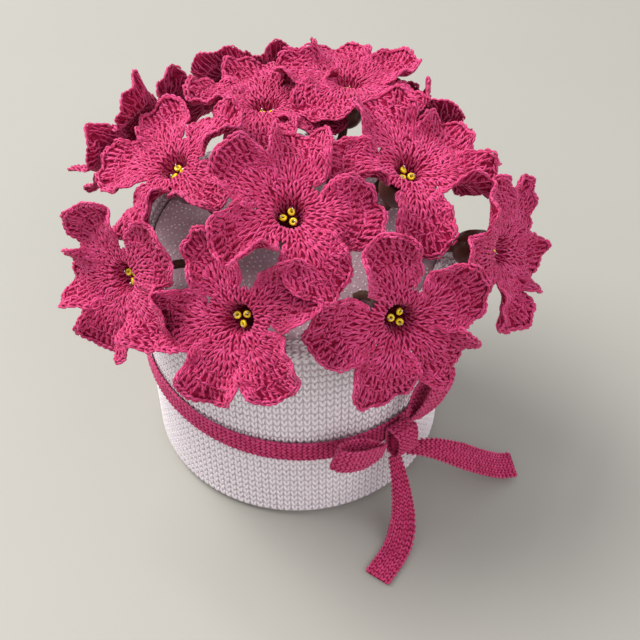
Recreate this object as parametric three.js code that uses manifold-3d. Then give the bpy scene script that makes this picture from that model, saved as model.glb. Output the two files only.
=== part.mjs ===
// Crocheted petunia bouquet on wire stems, in a round pot with a knitted cover and a ribbon bow.
// Millimetres, +Z up. The origin is the middle of the pot's flat underside, and the front is -Y.
import * as THREE from "three";
import { mergeVertices } from "three/addons/utils/BufferGeometryUtils.js";
import Module from "manifold-3d";

const wasm = await Module();
wasm.setup();

// Driving dimensions of the pot, its cover and the foam.
const COVER = { radius: 50, height: 83, wall: 2, rimWall: 2.6, footRadius: 48 };
const HEM = { radius: 50.8, height: 4, swell: 0.8 };
const FLANGE = { depth: 6.5, wall: 1 };
const TUB = { radius: 47.7, wall: 1.4, height: 77.7 };
const FOAM = { radius: 44.6, edgeHeight: 81, crownHeight: 85.5, crownShare: 0.6, crownDrop: 1.3 };
const GAP = 0.3;
const ROUND_SIDES = 48;

// Driving dimensions of a flower, along its own axis from the mouth of the throat.
const THROAT_RADIUS = 5.4;
const TUBE = { mouthRadius: 3.7, mouthDepth: 3.5, endRadius: 2.5, endDepth: 9.5, wall: 1.1 };
const PETAL = { halfWidth: 10.8, endRadius: 9, thickness: 1.2, ruffle: 1.0, ruffleWaves: 2 };
const PETAL_SWEEP = THREE.MathUtils.degToRad(150);
const NOTCH_MARGIN = THREE.MathUtils.degToRad(1.5);
const PETAL_COUNT = 5;
const PETAL_COLUMNS = [-1, -0.5, 0, 0.5, 1];
const SHOULDER = 0.93;
const PETAL_ROWS = [0.5, 1];
const MEAN_LIFT = 14;
const MEAN_CURL = -30;
const CURL_PER_LIFT = 1.25;
const CALYX = { rimDepth: 5.5, radius: 5.8, mouthRadius: 5, length: 9.5 };
const CALYX_SHOULDER = { radius: 4.3, height: 1.2, fullHeight: 4.5, footMargin: 0.8 };
const STEM = { radius: 1.4, sides: 6, steps: 6, bury: 24, lean: 0.5, runOut: 9, upright: 3 };
const BEAD = { count: 3, radius: 1.05, hole: 0.35, ring: 1.7, depth: 3.6, tilt: 25, firstTurn: 0.4 };
const TWIST = { topRadius: 0.9, footRadius: 1.2, height: 1.2 };
const WIRE = { radius: 0.22, startRadius: 0.4 };

// Driving dimensions of the crocheted ribbon.
const RIBBON = { width: 8.4, thickness: 1.4, height: 41, sag: 5, sagDirection: -60 };
const KNOT_DIRECTION = -55;
const KNOT = { width: 10.5, depth: 7.5, height: 12, radius: 55.8, corner: 1.8 };
const LOOP_CORNERS = 18;
const LEFT_LOOP = { length: 20, breadth: 8, at: [1.2, -7.4, 0.5], tilt: -22, turn: 172 };
const RIGHT_LOOP = { length: 23, breadth: 8, at: [1.2, 2.6, 7.4], tilt: 66, turn: -6 };
const TAIL = { steps: 14, offset: 2.4, below: 1.5, bunched: 0.4, opening: 4 };

const COLOURS = {
  petal: 0xb43464,
  calyx: 0x4a1a0c,
  stem: 0x54301a,
  bead: 0xe0b400,
  ribbon: 0xa83a62,
  cover: 0xe4dede,
  tub: 0xe8e6e2,
  foam: 0xd8ccd0,
};

// Where each flower's throat lies, the way it faces (direction round the pot, lean off vertical),
// its reach from throat to petal tip, and each petal's direction and lift in degrees.
const FLOWERS = [
  { at: [-1, -34, 120], face: [-72, 25], reach: 25.3,
    petals: [[6, 17], [74, 13], [157, 12], [216, 20], [288, 16]] },
  { at: [-35, -3, 112], face: [-164, 27], reach: 25.3,
    petals: [[38, 15], [110, 10], [188, 16], [264, 13], [324, 16]] },
  { at: [33, -10, 115], face: [-32, 20], reach: 25.8,
    petals: [[24, 24], [84, 10], [153, 20], [228, 12], [314, 10]] },
  { at: [-16, -52, 98], face: [-118, 56], reach: 25.3,
    petals: [[55, 16], [131, 12], [218, 15], [289, 10], [354, 16]] },
  { at: [28, -52, 96], face: [-73, 63], reach: 25.3,
    petals: [[41, 15], [102, 18], [185, 14], [268, 14], [334, 15]] },
  { at: [-49, -31, 94], face: [-138, 70], reach: 24.8,
    petals: [[6, 16], [79, 18], [144, 14], [235, 19], [298, 19]] },
  { at: [60, -23, 94], face: [-28, 71], reach: 24.3,
    petals: [[42, 18], [104, 15], [186, 19], [245, 11], [328, 20]] },
  { at: [-49, 27, 99], face: [145, 67], reach: 24.8,
    petals: [[27, 14], [99, 15], [171, 16], [243, 14], [315, 14]] },
  { at: [-15, 54, 97], face: [103, 66], reach: 24.3,
    petals: [[5, 14], [77, 14], [149, 14], [221, 14], [293, 14]] },
  { at: [18, 30, 117], face: [58, 13], reach: 24.3,
    petals: [[39, 19], [116, 15], [186, 14], [259, 15], [334, 17]] },
  { at: [-8, 22, 115], face: [112, 10], reach: 24.8,
    petals: [[63, 25], [156, 13], [217, 12], [291, 8], [352, 20]] },
  { at: [45, 29, 96], face: [36, 69], reach: 24.3,
    petals: [[48, 14], [120, 14], [199, 17], [258, 16], [336, 14]] },
];

const group = new THREE.Group();
const radians = THREE.MathUtils.degToRad;

// A named mesh with its own material.
function piece(name, geometry, colour, roughness, metalness = 0) {
  const material = new THREE.MeshStandardMaterial({ color: colour, roughness, metalness });
  const mesh = new THREE.Mesh(geometry, material);
  mesh.name = name;
  return mesh;
}

// A closed geometry's shared corners, as a solid that can be joined and cut.
function solid(geometry) {
  const bare = geometry.clone();
  bare.deleteAttribute("normal");
  bare.deleteAttribute("uv");
  const merged = mergeVertices(bare, 1e-4);
  return new wasm.Manifold(
    new wasm.Mesh({
      numProp: 3,
      vertProperties: new Float32Array(merged.attributes.position.array),
      triVerts: new Uint32Array(merged.index.array),
    }),
  );
}

// The geometry of a joined or cut solid.
function geometryOf(made) {
  const mesh = made.getMesh();
  const geometry = new THREE.BufferGeometry();
  geometry.setAttribute("position", new THREE.BufferAttribute(mesh.vertProperties, 3));
  geometry.setIndex(new THREE.BufferAttribute(mesh.triVerts, 1));
  return geometry;
}

// A body turned round the Z axis from a profile of [radius, height] points.
function turned(profile, sides) {
  const points = profile.map(([radius, height]) => new THREE.Vector2(radius, height));
  return new THREE.LatheGeometry(points, sides).rotateX(Math.PI / 2);
}

// A flat section swept along a curve, closed at both ends.
function swept(shape, path, steps) {
  return new THREE.ExtrudeGeometry(shape, { steps, extrudePath: path, bevelEnabled: false });
}

// A regular polygon as a section.
function roundSection(radius, sides) {
  const corners = [];
  for (let i = 0; i < sides; i++) {
    const angle = (2 * Math.PI * i) / sides;
    corners.push(new THREE.Vector2(radius * Math.cos(angle), radius * Math.sin(angle)));
  }
  return new THREE.Shape(corners);
}

// A flower's petals with the angle that each shares with its neighbour on either side.
function petalsOf(flower) {
  const directions = flower.petals.map(([direction]) => direction);
  const halfWay = (from, to) => radians((((to - from) % 360) + 360) % 360) / 2;
  return flower.petals.map(([direction, lift], i) => ({
    turn: radians(direction),
    lift,
    before: halfWay(directions[(i + 4) % PETAL_COUNT], direction),
    after: halfWay(direction, directions[(i + 1) % PETAL_COUNT]),
  }));
}

// How wide a petal's side is, as a share: the notch at its foot stays clear of its neighbour.
function widthShare(flower, half) {
  const notchX = flower.reach - PETAL.endRadius + PETAL.endRadius * Math.cos(PETAL_SWEEP);
  const notchY = PETAL.halfWidth * Math.sin(PETAL_SWEEP);
  return Math.min(1, (notchX * Math.tan(half - NOTCH_MARGIN)) / notchY);
}

// A point of a petal: u runs across from -1 to 1, and v out from the throat to the edge.
// The petal rises from the throat at its lift, and curls back towards its tip.
function petalPoint(flower, { turn, lift, before, after }, u, v) {
  const sweep = PETAL_SWEEP * u;
  const half = u < 0 ? before : after;
  const edgeX = flower.reach - PETAL.endRadius + PETAL.endRadius * Math.cos(sweep);
  const edgeY = PETAL.halfWidth * Math.sin(sweep) * widthShare(flower, half);
  const share = SHOULDER * u * half;
  const baseX = THROAT_RADIUS * Math.cos(share);
  const baseY = THROAT_RADIUS * Math.sin(share);
  const run = Math.max((edgeX - baseX) * v, 0);
  const curl = MEAN_CURL + CURL_PER_LIFT * (lift - MEAN_LIFT);
  const slope = radians(lift + (0.5 * curl * run) / (flower.reach - THROAT_RADIUS));
  const x = edgeX > baseX ? baseX + run * Math.cos(slope) : baseX + (edgeX - baseX) * v;
  const y = baseY + (edgeY - baseY) * v;
  const wave = PETAL.ruffle * v * v * Math.sin(Math.PI * PETAL.ruffleWaves * u + turn);
  return new THREE.Vector3(
    x * Math.cos(turn) - y * Math.sin(turn),
    x * Math.sin(turn) + y * Math.cos(turn),
    run * Math.sin(slope) + wave * Math.cos((Math.PI * u) / 2),
  );
}

// A tube that opens into a ring of five petals, as one shell of even thickness.
function corolla(flower) {
  const columns = petalsOf(flower).flatMap((petal) => PETAL_COLUMNS.map((u) => [petal, u]));
  const ring = (radius, depth) =>
    columns.map(([petal, u]) => {
      const angle = petal.turn + SHOULDER * u * (u < 0 ? petal.before : petal.after);
      return new THREE.Vector3(radius * Math.cos(angle), radius * Math.sin(angle), -depth);
    });
  const limb = (v, drop) =>
    columns.map(([petal, u]) => petalPoint(flower, petal, u, v).add(new THREE.Vector3(0, 0, -drop)));
  const inside = [
    ring(TUBE.endRadius, TUBE.endDepth),
    ring(TUBE.mouthRadius, TUBE.mouthDepth),
    ring(THROAT_RADIUS, 0),
    ...PETAL_ROWS.map((v) => limb(v, 0)),
  ];
  const outside = [
    ...PETAL_ROWS.map((v) => limb(v, PETAL.thickness)).reverse(),
    ring(THROAT_RADIUS + TUBE.wall / 3, PETAL.thickness + TUBE.wall / 3),
    ring(TUBE.mouthRadius + TUBE.wall, TUBE.mouthDepth + TUBE.wall / 3),
    ring(TUBE.endRadius + TUBE.wall, TUBE.endDepth + TUBE.wall),
  ];
  return shellOfRings([...inside, ...outside], -TUBE.endDepth, -TUBE.endDepth - TUBE.wall);
}

// A closed surface through rings of points, with a pole at each end on the Z axis. Each quad
// is split along its shorter diagonal.
function shellOfRings(rings, firstPole, lastPole) {
  const count = rings[0].length;
  const positions = [0, 0, firstPole];
  rings.flat().forEach((point) => positions.push(point.x, point.y, point.z));
  positions.push(0, 0, lastPole);
  const last = positions.length / 3 - 1;
  const faces = [];
  for (let i = 0; i < count; i++) {
    const next = (i + 1) % count;
    faces.push(0, 1 + i, 1 + next);
    for (let r = 0; r + 1 < rings.length; r++) {
      const a = 1 + r * count;
      const b = a + count;
      const rising = rings[r][i].distanceTo(rings[r + 1][next]);
      const falling = rings[r + 1][i].distanceTo(rings[r][next]);
      if (rising < falling) {
        faces.push(a + i, b + i, b + next, a + i, b + next, a + next);
      } else {
        faces.push(a + i, b + i, a + next, b + i, b + next, a + next);
      }
    }
    const end = 1 + (rings.length - 1) * count;
    faces.push(end + i, last, end + next);
  }
  const geometry = new THREE.BufferGeometry();
  geometry.setAttribute("position", new THREE.Float32BufferAttribute(positions, 3));
  geometry.setIndex(faces);
  return geometry;
}

// The smooth brown cup that holds the tube.
function calyx() {
  const rim = -CALYX.rimDepth;
  const floor = -(TUBE.endDepth + TUBE.wall + GAP);
  const end = rim - CALYX.length;
  const profile = [
    [0, end],
    [STEM.radius + CALYX_SHOULDER.footMargin, end],
    [CALYX_SHOULDER.radius, end + CALYX_SHOULDER.height],
    [CALYX.radius, end + CALYX_SHOULDER.fullHeight],
    [CALYX.radius, rim],
    [CALYX.mouthRadius, rim],
    [TUBE.endRadius + TUBE.wall + 2 * GAP, floor],
    [0, floor],
  ];
  return turned(profile, 10);
}

// Three beads on wires that rise together from a twist at the bottom of the tube.
function stamens() {
  const bottom = -TUBE.endDepth + GAP;
  const twist = new THREE.CylinderGeometry(TWIST.topRadius, TWIST.footRadius, TWIST.height, 6);
  let made = solid(twist.rotateX(Math.PI / 2).translate(0, 0, bottom + TWIST.height / 2));
  for (let i = 0; i < BEAD.count; i++) {
    const angle = (2 * Math.PI * i) / BEAD.count + BEAD.firstTurn;
    const out = new THREE.Vector3(Math.cos(angle), Math.sin(angle), 0);
    const tube = (BEAD.radius - BEAD.hole) / 2;
    const bead = new THREE.TorusGeometry(BEAD.hole + tube, tube, 3, 6);
    bead.rotateX(radians(BEAD.tilt)).rotateZ(angle);
    bead.translate(out.x * BEAD.ring, out.y * BEAD.ring, -BEAD.depth);
    const path = new THREE.LineCurve3(
      out.clone().multiplyScalar(WIRE.startRadius).setZ(bottom + TWIST.height / 2),
      out.clone().multiplyScalar(BEAD.ring + BEAD.hole + tube).setZ(-BEAD.depth),
    );
    made = made.add(solid(swept(roundSection(WIRE.radius, 3), path, 1))).add(solid(bead));
  }
  return geometryOf(made);
}

// The route of a stem: straight back out of the cup, then down and upright into the foam.
function stemPath(flower) {
  const throat = new THREE.Vector3(...flower.at);
  const [direction, lean] = flower.face.map(radians);
  const facing = new THREE.Vector3(
    Math.sin(lean) * Math.cos(direction),
    Math.sin(lean) * Math.sin(direction),
    Math.cos(lean),
  );
  const start = throat.clone().addScaledVector(facing, -(CALYX.rimDepth + CALYX.length + GAP));
  const foot = new THREE.Vector3(
    throat.x * STEM.lean,
    throat.y * STEM.lean,
    FOAM.edgeHeight - STEM.bury,
  );
  const control = start.clone().addScaledVector(facing, -STEM.runOut);
  const upright = foot.clone().setZ(FOAM.crownHeight + STEM.upright);
  return new THREE.CubicBezierCurve3(start, control, upright, foot);
}

// The foam, with a snug blind hole for each stem.
function foam() {
  const floor = COVER.wall + GAP + TUB.wall + GAP;
  const profile = [
    [0, floor],
    [FOAM.radius, floor],
    [FOAM.radius, FOAM.edgeHeight],
    [FOAM.radius * FOAM.crownShare, FOAM.crownHeight - FOAM.crownDrop],
    [0, FOAM.crownHeight],
  ];
  let made = solid(turned(profile, ROUND_SIDES));
  for (const flower of FLOWERS) {
    const path = stemPath(flower);
    const hole = swept(roundSection(STEM.radius + GAP, STEM.sides), path, STEM.steps);
    made = made.subtract(solid(hole));
    const foot = path.getPoint(1);
    const bottom = new THREE.CylinderGeometry(STEM.radius + GAP, STEM.radius + GAP, 1.2, 8);
    bottom.rotateX(Math.PI / 2).translate(foot.x, foot.y, foot.z + 0.3);
    made = made.subtract(solid(bottom));
  }
  return geometryOf(made);
}

// The thin inner pot.
function tub() {
  const floor = COVER.wall + GAP;
  const rim = floor + TUB.height;
  const inner = TUB.radius - TUB.wall;
  return turned(
    [[0, floor], [TUB.radius, floor], [TUB.radius, rim], [inner, rim], [inner, floor + TUB.wall],
      [0, floor + TUB.wall]],
    ROUND_SIDES,
  );
}

// The knitted cover: a base, a wall, and a rim that turns in over the inner pot.
function cover() {
  const inner = COVER.radius - COVER.wall;
  const hemFoot = COVER.height - HEM.height;
  const flange = FOAM.radius + GAP;
  const flangeEnd = COVER.height - FLANGE.depth;
  const profile = [
    [0, 0],
    [COVER.footRadius, 0],
    [COVER.radius - HEM.swell / 2, HEM.swell],
    [COVER.radius, 3 * HEM.swell],
    [COVER.radius, hemFoot],
    [HEM.radius, hemFoot + HEM.swell],
    [HEM.radius, COVER.height - HEM.swell],
    [COVER.radius - HEM.swell, COVER.height],
    [flange + HEM.swell, COVER.height],
    [flange, COVER.height - HEM.swell],
    [flange, flangeEnd],
    [flange + FLANGE.wall, flangeEnd],
    [flange + FLANGE.wall, COVER.height - COVER.rimWall],
    [inner, COVER.height - COVER.rimWall],
    [inner, COVER.wall],
    [0, COVER.wall],
  ];
  return turned(profile, ROUND_SIDES);
}

// The ribbon's height on the pot, which is lowest at the bow.
function ribbonHeight(degrees) {
  return RIBBON.height - RIBBON.sag * Math.cos(radians(degrees - RIBBON.sagDirection));
}

// The band: a flat ring round the cover that leans down towards the bow.
function band() {
  const inner = COVER.radius + GAP;
  const outer = inner + RIBBON.thickness;
  const half = RIBBON.width / 2;
  const section = [[inner, -half], [outer, -half], [outer, half], [inner, half], [inner, -half]];
  const ring = turned(section, ROUND_SIDES);
  const positions = ring.attributes.position;
  for (let i = 0; i < positions.count; i++) {
    const angle = THREE.MathUtils.radToDeg(Math.atan2(positions.getY(i), positions.getX(i)));
    positions.setZ(i, positions.getZ(i) + ribbonHeight(angle));
  }
  return ring;
}

// A point given round the pot: direction in degrees, distance from the axis, height.
function around(degrees, radius, height) {
  const angle = radians(degrees);
  return new THREE.Vector3(radius * Math.cos(angle), radius * Math.sin(angle), height);
}

// The knot: a rounded wrap that stands on the band.
function knot() {
  const half = { x: KNOT.depth / 2, y: KNOT.width / 2 };
  const cut = KNOT.corner;
  const outline = [
    [-half.x, -half.y + cut], [-half.x, half.y - cut], [-half.x + cut, half.y], [half.x - cut, half.y],
    [half.x, half.y - cut], [half.x, -half.y + cut], [half.x - cut, -half.y], [-half.x + cut, -half.y],
  ].map(([x, y]) => new THREE.Vector2(x, y));
  const body = new THREE.ExtrudeGeometry(new THREE.Shape(outline), {
    depth: KNOT.height,
    steps: 1,
    bevelEnabled: false,
  });
  return body.translate(0, 0, -KNOT.height / 2);
}

// A loop of the bow: a drop-shaped ring of ribbon, seen from above, that points along +Y.
function loop({ length, breadth }) {
  const drop = (inset) => {
    const corners = [];
    for (let i = 0; i < LOOP_CORNERS; i++) {
      const turn = (2 * Math.PI * (i + 0.5)) / LOOP_CORNERS;
      const along = (length / 2 - inset) * (1 - Math.cos(turn)) + inset;
      const swell = Math.pow(Math.sin(turn / 2), 0.7);
      corners.push(new THREE.Vector2((breadth / 2 - inset) * Math.sin(turn) * swell, along));
    }
    return corners;
  };
  const shape = new THREE.Shape(drop(0));
  shape.holes.push(new THREE.Path(drop(RIBBON.thickness)));
  const body = new THREE.ExtrudeGeometry(shape, { depth: RIBBON.width, steps: 1, bevelEnabled: false });
  return body.translate(0, 0, -RIBBON.width / 2);
}

// A tail: a flat strip along a curve, bunched where it leaves the knot, that turns as it runs.
function tail(points, widths) {
  const curve = new THREE.CatmullRomCurve3(points.map((point) => new THREE.Vector3(...point)));
  const positions = [];
  for (let i = 0; i <= TAIL.steps; i++) {
    const t = i / TAIL.steps;
    const centre = curve.getPoint(t);
    const along = curve.getTangent(t);
    const at = t * (widths.length - 1);
    const k = Math.min(Math.floor(at), widths.length - 2);
    const from = new THREE.Vector3(...widths[k]);
    const across = from.lerp(new THREE.Vector3(...widths[k + 1]), at - k);
    const spread = Math.min(1, TAIL.bunched + TAIL.opening * t);
    across.addScaledVector(along, -across.dot(along)).setLength((spread * RIBBON.width) / 2);
    const out = new THREE.Vector3().crossVectors(along, across).setLength(RIBBON.thickness / 2);
    for (const [a, b] of [[1, 1], [-1, 1], [-1, -1], [1, -1]]) {
      const corner = centre.clone().addScaledVector(across, a).addScaledVector(out, b);
      positions.push(corner.x, corner.y, corner.z);
    }
  }
  const faces = [0, 2, 1, 0, 3, 2];
  for (let i = 0; i < TAIL.steps; i++) {
    for (let side = 0; side < 4; side++) {
      const a = 4 * i + side;
      const b = 4 * i + ((side + 1) % 4);
      faces.push(a, b + 4, a + 4, a, b, b + 4);
    }
  }
  const end = 4 * TAIL.steps;
  faces.push(end, end + 1, end + 2, end, end + 2, end + 3);
  const geometry = new THREE.BufferGeometry();
  geometry.setAttribute("position", new THREE.Float32BufferAttribute(positions, 3));
  geometry.setIndex(faces);
  return geometry;
}

group.add(piece("pot_cover", cover(), COLOURS.cover, 0.95));
group.add(piece("pot_tub", tub(), COLOURS.tub, 0.6));
group.add(piece("foam_insert", foam(), COLOURS.foam, 0.9));
group.add(piece("ribbon_band", band(), COLOURS.ribbon, 0.85));

// The bow stands on the band at one place, so its knot and loops share one turned group.
const bow = new THREE.Group();
bow.position.copy(around(KNOT_DIRECTION, KNOT.radius, ribbonHeight(KNOT_DIRECTION)));
bow.rotation.z = radians(KNOT_DIRECTION);
bow.add(piece("bow_knot", knot(), COLOURS.ribbon, 0.85));
for (const [name, shape] of [["bow_loop_left", LEFT_LOOP], ["bow_loop_right", RIGHT_LOOP]]) {
  const made = piece(name, loop(shape), COLOURS.ribbon, 0.85);
  made.position.set(...shape.at);
  made.rotation.set(radians(shape.tilt), 0, radians(shape.turn));
  bow.add(made);
}
group.add(bow);

// Where the tails leave the knot's underside, to the left and right of its middle.
function tailStart(side) {
  const height = ribbonHeight(KNOT_DIRECTION) - KNOT.height / 2 - TAIL.below;
  const middle = around(KNOT_DIRECTION, KNOT.radius, height);
  return middle.add(around(KNOT_DIRECTION + 90, side * TAIL.offset, 0)).toArray();
}

const frontTail = [
  tailStart(-1),
  [32, -53, 19],
  [33, -58, 7],
  [31.5, -63, 1.8],
  [28, -69, 1.1],
  [23.5, -75, 1.1],
];
const rightTail = [
  tailStart(1),
  [42, -43.5, 27],
  [52, -41.5, 20],
  [62, -38.5, 11],
  [68.5, -36, 5.5],
  [73.5, -34, 3.2],
];
const frontWidths = [[0.82, 0.57, 0], [1, 0.4, 0], [1, 0.1, 0], [1, -0.5, 0], [0.83, -0.55, 0]];
const rightWidths = [[0.82, 0.57, 0], [0.2, 0.9, 0.5], [0, 0.9, 0.4], [0.2, 1, 0.1], [0.4, 0.9, 0]];
group.add(piece("ribbon_tail_front", tail(frontTail, frontWidths), COLOURS.ribbon, 0.85));
group.add(piece("ribbon_tail_right", tail(rightTail, rightWidths), COLOURS.ribbon, 0.85));

FLOWERS.forEach((flower, index) => {
  const number = index + 1;
  const head = new THREE.Group();
  const [direction, lean] = flower.face.map(radians);
  head.position.set(...flower.at);
  head.rotation.set(0, lean, direction, "ZYX");
  head.add(piece("corolla_" + number, corolla(flower), COLOURS.petal, 0.8));
  head.add(piece("calyx_" + number, calyx(), COLOURS.calyx, 0.45));
  head.add(piece("stamens_" + number, stamens(), COLOURS.bead, 0.25));
  group.add(head);
  const stem = swept(roundSection(STEM.radius, STEM.sides), stemPath(flower), STEM.steps);
  group.add(piece("stem_" + number, stem, COLOURS.stem, 0.6));
});

export default group;
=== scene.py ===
"""The finished look of a bouquet of crocheted petunias in a round pot with a knitted cover.

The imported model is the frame. Every flower, the cover, the foam and the ribbon get their yarn,
stitches and finishes here, in metres, with the front of the pot at -Y.
"""

import logging
import math
from dataclasses import dataclass, field
from enum import Enum

import bmesh
import bpy
import numpy as np
from mathutils import Matrix, Vector


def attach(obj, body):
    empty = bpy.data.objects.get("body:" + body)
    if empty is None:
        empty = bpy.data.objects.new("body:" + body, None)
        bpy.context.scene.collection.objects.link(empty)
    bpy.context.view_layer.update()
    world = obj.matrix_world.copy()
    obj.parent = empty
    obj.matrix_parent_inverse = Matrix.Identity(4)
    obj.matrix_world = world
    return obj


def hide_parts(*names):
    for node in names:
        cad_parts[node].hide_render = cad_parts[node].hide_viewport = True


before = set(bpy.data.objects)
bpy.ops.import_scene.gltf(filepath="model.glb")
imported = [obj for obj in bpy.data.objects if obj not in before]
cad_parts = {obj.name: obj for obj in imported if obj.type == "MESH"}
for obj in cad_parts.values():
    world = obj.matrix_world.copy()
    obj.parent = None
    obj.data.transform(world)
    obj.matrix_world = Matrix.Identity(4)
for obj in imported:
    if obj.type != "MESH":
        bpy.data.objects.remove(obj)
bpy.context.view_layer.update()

MM = 0.001
BODY = "root"
PETALS = 5
LOG = logging.getLogger("bouquet")


class Slot(Enum):
    """The record's material slots."""

    PETAL = "petal_yarn"
    RIBBON = "ribbon_yarn"
    COVER = "cover_knit"
    CALYX = "calyx_brown"
    STEM = "stem_wrap"
    BEAD = "bead_yellow"
    FOAM = "foam"


class NodeWork:
    """A tree of nodes while it is put together."""

    def __init__(self, tree: bpy.types.NodeTree) -> None:
        """Takes the tree that the nodes go into."""
        self.nodes = tree.nodes
        self.links = tree.links

    def feed(self, target: bpy.types.NodeSocket, value: object) -> None:
        """Links a socket to another, or sets its value."""
        if isinstance(value, bpy.types.NodeSocket):
            self.links.new(value, target)
        else:
            target.default_value = value

    def add(self, kind: str, feeds: dict[str | int, object] | None = None,
            **settings: object) -> bpy.types.Node:
        """Adds a node, sets its properties, and links or sets its inputs.

        Args:
            kind: the node's type.
            feeds: a socket or a value for each input, by the input's name or number.
            settings: plain properties of the node.

        Returns:
            The node.
        """
        node = self.nodes.new(kind)
        for name, value in settings.items():
            setattr(node, name, value)
        for key, value in (feeds or {}).items():
            self.feed(node.inputs[key], value)
        return node

    def math(self, operation: str, *values: object) -> bpy.types.NodeSocket:
        """Adds a Math node and returns its result."""
        return self.add("ShaderNodeMath", dict(enumerate(values)), operation=operation).outputs[0]


class Shader(NodeWork):
    """A material's nodes while they are put together."""

    def __init__(self, name: str) -> None:
        """Starts a material with one Principled shader."""
        self.material = bpy.data.materials.new(name)
        self.material.use_nodes = True
        super().__init__(self.material.node_tree)
        self.principled = self.nodes["Principled BSDF"]

    def ramp(self, value: bpy.types.NodeSocket, low: float, high: float) -> bpy.types.NodeSocket:
        """Maps low to high onto 0 to 1, smoothly and clamped."""
        feeds = {"Value": value, "From Min": low, "From Max": high}
        return self.add("ShaderNodeMapRange", feeds, interpolation_type="SMOOTHSTEP").outputs[0]

    def mix(self, share: object, first: object, second: object) -> bpy.types.NodeSocket:
        """Mixes two colours."""
        node = self.add("ShaderNodeMix", data_type="RGBA")
        colours = [socket for socket in node.inputs if socket.type == "RGBA"]
        self.feed(node.inputs[0], share)
        for socket, value in zip(colours, (first, second)):
            self.feed(socket, (*value, 1.0) if isinstance(value, tuple) else value)
        return next(socket for socket in node.outputs if socket.type == "RGBA")

    def noise(self, scale: float, detail: float = 2.0) -> bpy.types.NodeSocket:
        """Noise in Object coordinates, from 0 to 1."""
        place = self.add("ShaderNodeTexCoord").outputs["Object"]
        return self.add("ShaderNodeTexNoise", {"Vector": place, "Scale": scale, "Detail": detail}).outputs[0]

    def attribute(self, name: str) -> bpy.types.Node:
        """An attribute of the piece's own mesh."""
        return self.add("ShaderNodeAttribute", attribute_name=name)

    def bump(self, height: bpy.types.NodeSocket, distance: float, strength: float) -> None:
        """Raises the surface by a height that runs from 0 to 1."""
        node = self.add("ShaderNodeBump", {"Distance": distance, "Strength": strength, "Height": height})
        self.links.new(node.outputs[0], self.principled.inputs["Normal"])

    def paint(self, colour: bpy.types.NodeSocket) -> None:
        """Gives the surface its colour."""
        self.links.new(colour, self.principled.inputs["Base Color"])

    def constant(self, **values: float) -> None:
        """Sets the Principled shader's own sockets, named with underscores for spaces."""
        for name, value in values.items():
            self.principled.inputs[name.replace("_", " ")].default_value = value


@dataclass(frozen=True)
class YarnFinish:
    """Plied cotton yarn: three plies that twist round each strand, with fibre fuzz and sheen, and a darker
    colour in the grooves between the plies as painted shade.
    """

    name: str
    light: tuple[float, float, float]
    base: tuple[float, float, float]
    # The colour of the grooves between the plies: painted shade.
    groove_shade: tuple[float, float, float]
    roughness: float = 0.62
    sheen: float = 0.12
    plies: int = 3
    pitch: float = 1.7 * MM
    relief: float = 0.10 * MM
    fibres: float = 5200.0
    patches: float = 160.0

    def material(self) -> bpy.types.Material:
        """Builds the material."""
        shader = Shader(self.name)
        around = shader.add("ShaderNodeSeparateXYZ", {0: shader.attribute("ply_around").outputs["Vector"]})
        angle = shader.math("ARCTAN2", around.outputs[1], around.outputs[0])
        along = shader.attribute("ply_along").outputs["Fac"]
        turns = shader.math("MULTIPLY", along, 2 * math.pi / self.pitch)
        phase = shader.math("MULTIPLY_ADD", angle, float(self.plies), turns)
        ply = shader.math("MULTIPLY_ADD", shader.math("SINE", phase), 0.5, 0.5)
        crown = shader.math("POWER", ply, 0.6)
        fibre = shader.noise(self.fibres, 3.0)
        tone = shader.attribute("tone").outputs["Fac"]
        patch = shader.noise(self.patches, 2.0)
        shade = shader.math("MULTIPLY_ADD", patch, 0.5, shader.math("MULTIPLY", tone, 0.5))
        body = shader.mix(shader.ramp(shade, 0.25, 0.75), self.base, self.light)
        # Painted shade: the grooves between the plies take the darker groove colour, the crests the body
        # colour.
        colour = shader.mix(shader.math("MULTIPLY_ADD", crown, 0.75, 0.25), self.groove_shade, body)
        shader.paint(colour)
        height = shader.math("MULTIPLY_ADD", fibre, 0.35, shader.math("MULTIPLY", crown, 0.65))
        shader.bump(height, self.relief, 0.8)
        shader.constant(Roughness=self.roughness, Sheen_Weight=self.sheen, Sheen_Roughness=0.45)
        shader.constant(Specular_IOR_Level=0.35)
        return shader.material


@dataclass(frozen=True)
class ClothFinish:
    """The felted web of yarn that lies between the strands, coloured darker than its yarn as painted shade in
    the gaps.
    """

    name: str
    light: tuple[float, float, float]
    dark: tuple[float, float, float]
    grain: float = 900.0
    relief: float = 0.2 * MM

    def material(self) -> bpy.types.Material:
        """Builds the material."""
        shader = Shader(self.name)
        loops = shader.noise(self.grain, 3.0)
        colour = shader.mix(shader.ramp(loops, 0.35, 0.65), self.dark, self.light)
        shader.paint(colour)
        shader.bump(loops, self.relief, 0.9)
        shader.constant(Roughness=0.9, Specular_IOR_Level=0.05)
        return shader.material


@dataclass(frozen=True)
class SmoothFinish:
    """A smooth solid, such as a lacquered cup, a wrapped wire, a moulded pot or a glass bead."""

    name: str
    light: tuple[float, float, float]
    dark: tuple[float, float, float]
    roughness: float
    grain: float = 400.0
    relief: float = 0.03 * MM
    metallic: float = 0.0
    coat: float = 0.0

    def material(self) -> bpy.types.Material:
        """Builds the material."""
        shader = Shader(self.name)
        mottle = shader.noise(self.grain, 4.0)
        colour = shader.mix(shader.ramp(mottle, 0.3, 0.7), self.dark, self.light)
        shader.paint(colour)
        shader.bump(mottle, self.relief, 0.5)
        shader.constant(Roughness=self.roughness, Metallic=self.metallic, Coat_Weight=self.coat)
        return shader.material


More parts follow.
